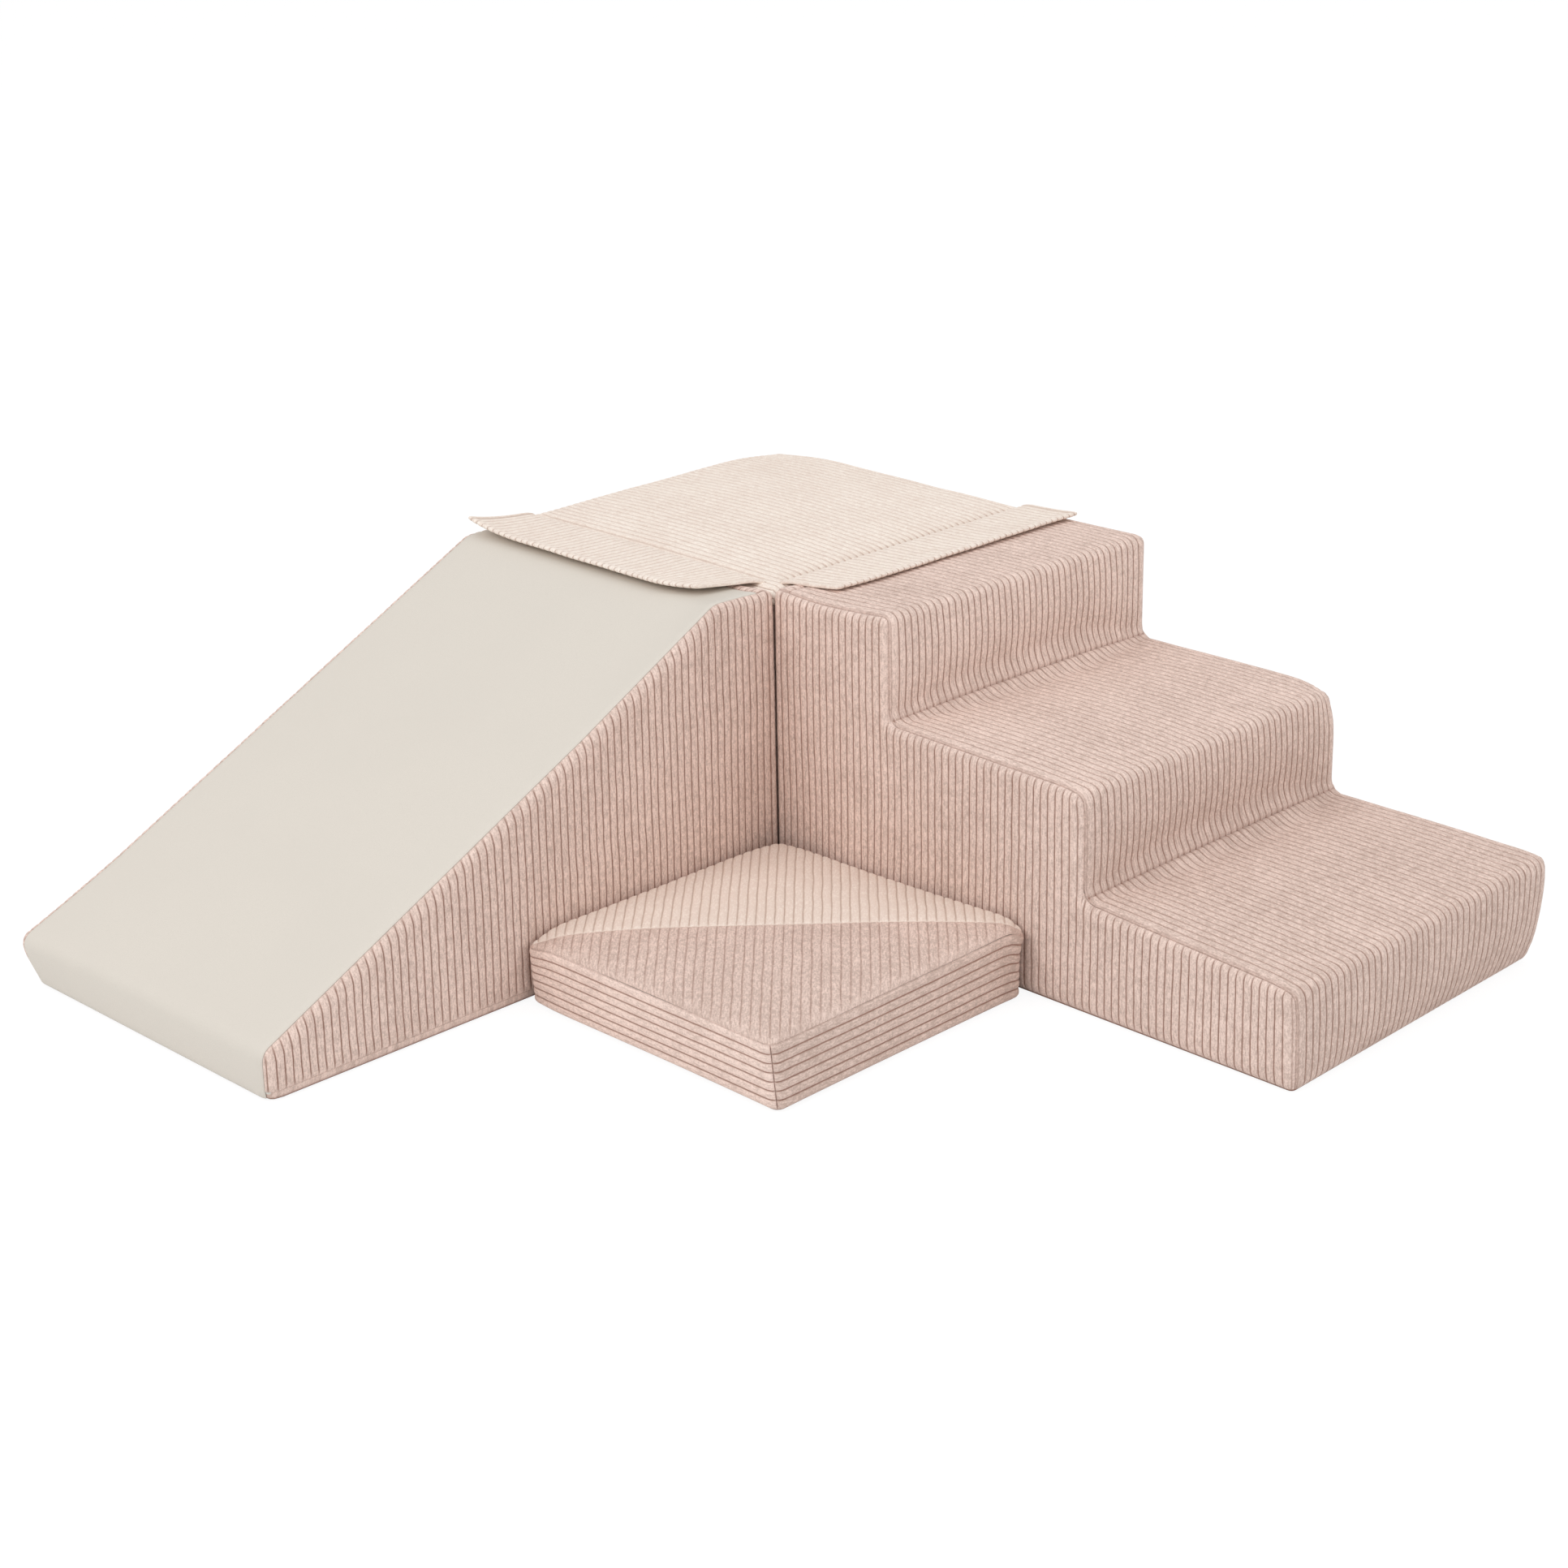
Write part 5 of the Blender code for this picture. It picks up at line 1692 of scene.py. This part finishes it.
@dataclass
class Mat:
    """The corner mat: two top triangles sewn on the diagonal, four ribbed gussets, base, foam and a zip."""

    corner: Pair
    side: float = 0.428
    height: float = 0.089
    gap_to_ramp: float = 0.007
    gap_to_stairs: float = 0.014
    top_radius: float = 0.007
    upright_radius: float = 0.014
    foot: float = 0.004
    base_drop: float = -0.0035
    tip_clear: float = 0.0005
    foam_rounding: float = 0.006
    gusset_ribs: int = 7
    crown: float = 0.011
    draw_in: float = 0.0025
    right_lift: float = 0.010
    front_foot_in: float = 0.006
    right_foot_in: float = 0.003
    near_foot_out: float = 0.005
    back_lean: float = 0.008
    # Painted light and shade per panel: the top triangles darker, the light one most for the shade of the
    # inner corner, the front-left gusset lighter and the front-right darker as the light falls.
    light_top_painted_light: float = -0.38
    rose_top_painted_light: float = -0.20
    front_left_painted_light: float = 0.20
    front_right_painted_light: float = -0.26
    band: Pair = (0.28, 0.72)
    soft_corners: tuple[SoftCorner, ...] = (
        SoftCorner(1, 1, 0.014, -0.001, 0.013, 0.0),
        SoftCorner(-1, -1, 0.024, 0.003, 0.009, 0.001),
        SoftCorner(-1, 1, 0.060, 0.009, -0.004, 0.0),
        SoftCorner(-1, 1, 0.024, 0.006, 0.0, 0.0),
    )

    def __post_init__(self) -> None:
        """Set the block up."""
        half = self.side / 2
        stand = Stand(self.corner[0] + self.gap_to_ramp + half, self.corner[1] - self.gap_to_stairs - half)
        self.block = Block("mat", stand, self.soften, width=self.side, edge=self.top_radius)

    def soften(self, points: Array) -> Array:
        """The mat's crown, drawn-in seams and uneven corners."""
        half = self.side / 2
        x, y, z = split(points)
        across, along, share = x / half, y / half, z / self.height
        low, high = self.band
        outside = np.maximum(np.maximum(low - share, share - high), 0) / low
        drawn = self.draw_in * np.minimum(outside, 1) ** 2
        crown = self.crown * np.maximum(1 - across**4, 0) * np.maximum(1 - along**4, 0)
        rightward, backward = np.maximum(1 + across, 0) / 2, np.maximum(1 + along, 0) / 2
        right = self.right_lift * (rightward * backward) ** 2
        lean = self.back_lean * within((share - high) / (1 - high))
        soft = points.copy()
        outward = self.near_foot_out * (1 - backward) - self.right_foot_in * backward**3
        soft[..., 0] += outward * (1 - share) * rightward
        soft[..., 1] += self.front_foot_in * (1 - share) * (1 - backward) + lean * backward
        soft[..., 0] -= drawn * across * np.maximum(1 - along**2, 0)
        soft[..., 1] -= drawn * along * np.maximum(1 - across**2, 0)
        soft[..., 2] += (crown + right) * share
        for corner in self.soft_corners:
            near = bell(np.hypot(x - corner.x * half, y - corner.y * half) / corner.reach)
            soft[..., 0] -= corner.x * corner.pull * near
            soft[..., 1] -= corner.y * corner.pull * near
            soft[..., 2] += (corner.rise * (1 - share) - corner.droop * share) * near
        return soft

    def build(self) -> None:
        """Build the block's pieces."""
        block, half, middle = self.block, self.side / 2, self.height / 2
        box = (-half, half, 0.0, self.height)
        block.foam("mat_foam", "mat_foam_core", box, self.foam_rounding, 4, self.soften)
        for kind, toward, finish, painted_light, grooves in (
            ("light", 1, LIGHT, self.light_top_painted_light, 0.92), ("rose", -1, ROSE, self.rose_top_painted_light, 0.62),
        ):
            sewing = Sewing(seed=52 + toward, lump=0.0009, shade=0.3, groove_share=grooves)
            grid = self.triangle(toward)
            grid.painted_light = painted_light
            block.panel(f"mat_{kind}_cover", f"mat_{kind}_triangle", [grid], finish, sewing)
        ribs = Ribs((self.height - 2 * self.foot) / self.gusset_ribs, 0.0024)
        zipper = Zip()
        for side, kind, painted_light in (
            (Side.FRONT, "front_left", self.front_left_painted_light),
            (Side.RIGHT, "front_right", self.front_right_painted_light),
            (Side.LEFT, "back_left", 0.0), (Side.BACK, "back_right", 0.0),
        ):
            hole = zipper.slot(0.0, middle) if side is Side.BACK else None
            heights = (self.foot, self.height - self.foot)
            grid = block.wall(self.upright_radius, side, heights, False, hole)
            grid.painted_light = painted_light
            name = f"mat_{kind}_cover"
            sewing = Sewing(
                ribs, seed=55 + len(name), valley=0.0007, rib_start=0.0008, valley_reach=0.0010,
                seam_shade=0.0012, wander=0.0020, wander_length=0.16, shade=0.12,
            )
            turned = hole.turned(self.foot) if hole else None
            block.panel(name, f"mat_{kind}_gusset", [grid], ROSE, sewing, turned)
        base = block.lid(half, 0.0, 0.0, block.base_edge, self.base_drop, -1, corner=self.upright_radius)
        pressed = Sewing(Ribs(height=0.0), seed=58, lump=0.0)
        block.panel("mat_base_cover", "mat_base_panel", [base], ROSE, pressed)
        zipper.build(block, (0, half, middle), 1)

    def triangle(self, toward: int) -> ClothGrid:
        """One top triangle, with ribs from the diagonal seam towards its own corner.

        Args:
            toward: 1 for the triangle by the blocks' inner corner and -1 for the outer one.

        Returns:
            The grid.
        """
        half = self.side / 2
        reach = half - self.top_radius + self.top_radius * 1.15
        tip = reach * math.sqrt(2)
        r = Ribs().lines(self.tip_clear - tip, tip - self.tip_clear)
        share = np.array(sorted([*(1 - (1 - np.linspace(0, 1, 30)) ** 2), 0.004, 0.012, 0.025]))
        t = (tip - np.abs(r))[:, None] * share[None]
        across = np.broadcast_to(r[:, None], t.shape)
        x = (across - toward * t) / math.sqrt(2)
        y = (across + toward * t) / math.sqrt(2)
        points, normals = fold_lid(x, y, half, half, self.top_radius, self.upright_radius)
        points[..., 2] += self.height
        rim = np.maximum(np.minimum(reach - np.abs(x), reach - np.abs(y)), 0)
        fade = np.minimum(t, rim * (1.0 if toward > 0 else 0.3))
        return self.block.finish_grid(points, normals, across, t, t + 0.002, fade)


@dataclass
class Flap:
    """A flap sewn to the platform's top, ribbed towards its outer edge and folded over at that edge."""

    name: str
    neighbour: str
    reach: float
    near_end_at: int
    seam_middle: Pair
    turn: float
    height: float = 0.420
    width: float = 0.500
    seam_inset: float = 0.025
    near_setback: float = 0.034
    far_setback: float = 0.012
    near_taper: float = 0.028
    corner_cut: float = 0.026
    edge_lift: float = 0.0058
    near_lift: float = 0.001
    far_lift: float = 0.011
    flat_margin: float = 0.005
    strip_length: float = 0.250
    strip_width: float = 0.022
    strip_inset: float = 0.042
    strip_thickness: float = 0.0013
    strip_stack: float = 0.0035
    strip_backing: float = 0.0006
    hook_pitch: float = 0.0028
    gap: float = 0.0003
    block_gap: float = 0.0006
    thickness: float = 0.0025
    hem_thickness: float = 0.0014
    hem: float = 0.0075
    crown: float = 0.008
    hem_stitch: float = 0.0065
    taper_reach: float = 0.12
    end_turns: Row = (25, 50, 72, 90)
    thin_to: float = 0.10
    hem_from: float = 0.2
    relief_below: float = 0.45
    wave: float = 0.0010
    fullness: float = 0.0002
    ribs: Ribs = Ribs(height=0.0015)
    rows: Row = (
        0.0, 0.01, 0.022, 0.04, 0.055, 0.075, 0.10, 0.16, 0.24, 0.32, 0.40, 0.48, 0.56, 0.64, 0.72, 0.80,
        0.87, 0.93, 0.97, 0.99,
    )

    def __post_init__(self) -> None:
        """Work out the flap's spans."""
        self.out = self.seam_inset + self.block_gap + self.reach
        self.length = self.width - self.near_setback - self.far_setback
        self.end_zone = (self.length - self.strip_length) / 2 - self.flat_margin
        self.stand = Stand(self.seam_middle[0], self.seam_middle[1], self.turn)

    def along(self, distance: Array | float) -> Array | float:
        """The x of a place measured from the end by the inner corner."""
        return -self.near_end_at * (distance + self.near_setback - self.width / 2)

    def middle(self, distance: Array, share: Array) -> Array:
        """The flap's middle surface.

        Args:
            distance: Places along the seam from the end by the inner corner, before the taper.
            share: Shares of the way out from the seam.

        Returns:
            The points in the flap's own frame, z from the floor.
        """
        near = self.near_taper * share * within(1 - distance / self.taper_reach)
        place = distance + near
        near_share = np.maximum(1 - place / self.end_zone, 0) ** 2
        far_share = np.maximum(1 - (self.length - place) / self.end_zone, 0) ** 2
        out = share * (self.out - self.corner_cut * near_share)
        x = self.along(place)
        half = self.width / 2
        crown = self.crown * (1 - (x / half) ** 2) * (1 - ((half - self.seam_inset) / half) ** 2)
        seam_height = self.height + crown + self.gap
        rest = self.height + self.strip_stack
        step = within(out / self.seam_inset)
        laid = seam_height + (rest - seam_height) * smooth(step) - seam_dip(out)
        lift = (self.edge_lift + self.near_lift * near_share + self.far_lift * far_share) * share**2
        wave = self.wave * waves(np.stack([x, out, x * 0], -1) + self.turn, 0.13, 7) * share
        return np.stack([x, out, laid + lift + wave + self.thickness / 2], axis=-1)

    def build(self) -> None:
        """Build the flap and its hook strip."""
        hems = (self.hem - 0.001, self.hem, self.hem + 0.001)
        distance = self.ribs.lines(0.0, self.length, 0.0, [*hems, *(self.length - at for at in hems)])
        turns = np.radians(self.end_turns)
        past = self.thickness / 2 * np.sin(turns)
        distance = np.concatenate([-past[::-1], distance, self.length + past])
        ends, inner = np.cos(turns), len(distance) - 2 * len(turns)
        closing = np.concatenate([ends[::-1], np.ones(inner), ends])
        top = np.array(self.rows)
        fold = np.linspace(0, math.pi, 7)[1:-1]
        share = np.concatenate([top, np.ones(len(fold)), top[::-1]])
        push = np.concatenate([np.zeros(len(top)), np.sin(fold), np.zeros(len(top))])
        rise = np.concatenate([np.ones(len(top)), np.cos(fold), -np.ones(len(top))])
        d, s = np.meshgrid(distance, share, indexing="ij")
        after = np.minimum(s + 0.01, 1.0)
        ahead = unit(self.middle(d, after) - self.middle(d, after - 0.02))
        up = unit(np.cross(np.array([1.0, 0.0, 0.0]), ahead))
        normals = unit(up * rise[None, :, None] + ahead * push[None, :, None])
        thin = within(s / self.thin_to)
        end = np.minimum(d, self.length - d)
        hem = within(1 - np.minimum((1 - s) * self.out, end) / self.hem) * within(s / self.hem_from)
        thick = self.hem_thickness * np.sqrt(hem) * within(0.6 + rise)
        half = self.thickness / 2 + self.fullness
        points = self.middle(d, s) + normals * ((half * thin + thick) * closing[:, None])[..., None]
        run = np.where(rise > 0, s, 2 - s) * self.out
        seam = np.where(s < 0.5, s * self.out, 1)
        # Painted shade: the seam at the flap's root and the hem's stitched lines darken, for the shade in
        # them.
        stitched = np.minimum(np.abs(s * self.out - self.hem_stitch), np.abs(end - self.hem)) + 0.0006
        seam = np.where(rise > 0, np.minimum(seam, stitched), seam)
        fade = np.maximum(np.minimum(seam, end + 0.0004), 0)
        grid = ClothGrid(self.stand.world(points), self.stand.world(normals, False), d, run, seam, fade)
        below = np.where(rise[None] < 0, self.relief_below, 1.0) * np.minimum(thin, closing[:, None])
        sewing = Sewing(self.ribs, valley=0.0007, valley_reach=0.0012, rib_start=0.0016, lump=0.0)
        raised = grid.points + (sewing.raised(grid) - grid.points) * below[..., None]
        mesh = edit_mesh(grid_mesh(self.name, grid, sewing, raised), close_tube)
        hook = work_mesh(f"{self.name}_hook_tape", self.hook_strip)
        hook.transform(self.stand.matrix())
        hook_piece = add_piece(hook.name, hook, [HOOKS], self.name, f"{self.name}_hook_strip")
        cloth = add_piece(f"{self.name}_cover", mesh, [LIGHT], self.name, self.name)

    def hook_strip(self, work: Work) -> None:
        """The hook tape with its rows of hooks pointing down."""
        first = (self.length - self.strip_length) / 2
        left, right = sorted((self.along(first), self.along(first + self.strip_length)))
        top, base = self.height + self.strip_stack - self.gap, self.strip_backing
        start = self.seam_inset + self.block_gap + self.strip_inset
        low, high = (left, start), (right, start + self.strip_width)
        box_into(work, (*low, top - base), (*high, top), 0.0002)
        add_pile(work, low, high, top - base, base - self.strip_thickness, self.hook_pitch)


def add_pile(work: Work, low: Pair, high: Pair, z: float, depth: float, pitch: float) -> None:
    """Rows of small hooks or loops on a tape.

    Args:
        work: The bmesh to add to.
        low: The tape's lowest corner in x and y.
        high: Its highest corner.
        z: The height of the tape's face.
        depth: How far the pile stands off it, down if negative.
        pitch: The distance between tufts.
    """
    margin = pitch * 0.7
    start, size = np.array(low) + margin, np.subtract(high, low) - 2 * margin
    columns, rows = (int(length / pitch) for length in size)
    bottom, top = sorted((z, z + depth))
    for i in range(columns + 1):
        for j in range(rows + 1):
            x = start[0] + i * size[0] / columns + (0.25 if j % 2 else -0.25) * pitch
            y = start[1] + j * size[1] / rows
            box_into(work, (x - 0.0007, y - 0.0004, bottom), (x + 0.0007, y + 0.0004, top))


def close_tube(work: Work) -> None:
    """Close a flattened tube where its two faces meet: along its seam edge and at its two ends."""
    bmesh.ops.remove_doubles(work, verts=work.verts, dist=MERGE * 3)
    bmesh.ops.dissolve_degenerate(work, edges=work.edges, dist=TINY * 100)
    bmesh.ops.recalc_face_normals(work, faces=work.faces)


@dataclass(frozen=True)
class LoopTape:
    """The loop tape sewn on a neighbour's top, under its flap."""

    body: str
    pile: float = 0.0007
    pitch: float = 0.0030

    def build(self) -> None:
        """Build the tape in the box of its CAD node."""
        low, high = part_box(f"{self.body}_loop_strip")

        def shape(work: Work) -> None:
            """The tape's backing and its loops."""
            top = high.z - self.pile
            box_into(work, low, (high.x, high.y, top), 0.0002)
            add_pile(work, (low.x, low.y), (high.x, high.y), top, self.pile, self.pitch)

        name = f"{self.body}_loop_tape"
        add_piece(name, work_mesh(name, shape), [LOOPS], self.body, f"{self.body}_loop_strip")


@dataclass(frozen=True)
class Studio:
    """The camera at the photograph's view, the plain floor and the soft lamps."""

    corner: Pair
    eye: Corner = (2.7854, -2.6997, 1.6642)
    forward: Corner = (-0.66813706, 0.65036837, -0.3614054)
    tilt: float = -0.999
    lens: float = 73.954
    room: float = 0.62
    floor_size: float = 14.0
    floor_drop: float = -0.0005
    floor_glow: float = 0.82
    aim: Corner = (0, 0, 0.2)

    def camera(self) -> None:
        """Set up the camera."""
        data = bpy.data.cameras.new("view")
        data.lens, data.sensor_width = self.lens, 36.0
        data.clip_start, data.clip_end = 0.1, 60.0
        camera = bpy.data.objects.new("view", data)
        ahead = Vector(self.forward).normalized()
        level = Vector((ahead.y, -ahead.x, 0)).normalized()
        up = level.cross(ahead).normalized()
        lean = math.sin(math.radians(self.tilt)) / up.z
        right = (level * math.sqrt(1 - lean * lean) + up * lean).normalized()
        up = right.cross(ahead).normalized()
        turn = Matrix((right, up, -ahead)).transposed().to_4x4()
        place = Vector(self.eye) + Vector((*self.corner, 0))
        camera.matrix_world = Matrix.Translation(place) @ turn
        bpy.context.scene.collection.objects.link(camera)
        bpy.context.scene.camera = camera

    def lamp(self, name: str, place: Corner, size: float, power: float) -> None:
        """Add one soft square lamp aimed at the object."""
        data = bpy.data.lights.new(name, "AREA")
        data.energy, data.size = power, size
        lamp = bpy.data.objects.new(name, data)
        away = Vector(place) - Vector(self.aim)
        lamp.matrix_world = Matrix.Translation(place) @ away.to_track_quat("Z", "Y").to_matrix().to_4x4()
        bpy.context.scene.collection.objects.link(lamp)

    def lamps(self) -> None:
        """The lamps and the even light of the room, which the camera sees as white."""
        self.lamp("key", (-0.6, -4.2, 3.6), 3.0, 88)
        self.lamp("fill", (4.0, 0.8, 2.6), 3.0, 38)
        self.lamp("top", (0.2, 0.4, 4.5), 4.0, 26)
        shader = Shader("room", True)
        shader.set(Color=(1, 1, 1, 1), Strength=shader.seen() * (1 - self.room) + self.room)
        bpy.context.scene.world = shader.owner

    def floor(self) -> None:
        """The plain white floor, which keeps the object's soft shadow."""
        cells = {"x_segments": 1, "y_segments": 1, "size": self.floor_size}
        mesh = work_mesh("floor", lambda work: bmesh.ops.create_grid(work, **cells))
        floor = bpy.data.objects.new("floor", mesh)
        floor.location.z = self.floor_drop
        bpy.context.scene.collection.objects.link(floor)
        shader = Shader("white_floor")
        shader.set(Base_Color=(0.86, 0.86, 0.86, 1), Roughness=0.9, Specular_IOR_Level=0.1)
        white = shader.add("ShaderNodeEmission", {}, {"Color": (1, 1, 1, 1), "Strength": 1.1})
        sockets = {0: shader.seen() * self.floor_glow, 1: shader.surface.outputs[0], 2: white.outputs[0]}
        blend = shader.add("ShaderNodeMixShader", {}, sockets)
        shader.feed(shader.tree.nodes["Material Output"].inputs[0], blend.outputs[0])
        mesh.materials.append(shader.owner)

    def build(self) -> None:
        """Build the studio."""
        self.camera()
        self.lamps()
        self.floor()
        bpy.context.scene.view_settings.view_transform = "Standard"


def main() -> None:
    """Build the climber in order."""
    logging.basicConfig(level=logging.INFO, format="%(name)s: %(message)s")
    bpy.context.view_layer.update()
    wall_low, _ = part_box("platform_ramp_side_wall")
    _, wall_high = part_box("platform_stair_side_wall")
    corner = (wall_high.x, wall_low.y)
    inset, half = Flap.seam_inset, Block.width / 2
    sets = (
        Studio(corner), Platform(corner), Ramp(corner), Stairs(corner), Mat(corner),
        LoopTape("ramp"), LoopTape("stairs"),
        Flap(
            "left_flap", "ramp", 0.092, -1, (corner[0] - half, corner[1] + inset), math.pi,
            near_taper=0.026, corner_cut=0.038,
        ),
        Flap(
            "right_flap", "stairs", 0.076, 1, (corner[0] - inset, corner[1] + half), -math.pi / 2,
            near_setback=0.029, near_taper=0.014, corner_cut=0.010, far_setback=0.006, far_lift=-0.0005,
            near_lift=-0.001,
        ),
    )
    for part in sets:
        part.build()


if __name__ == "__main__":
    main()
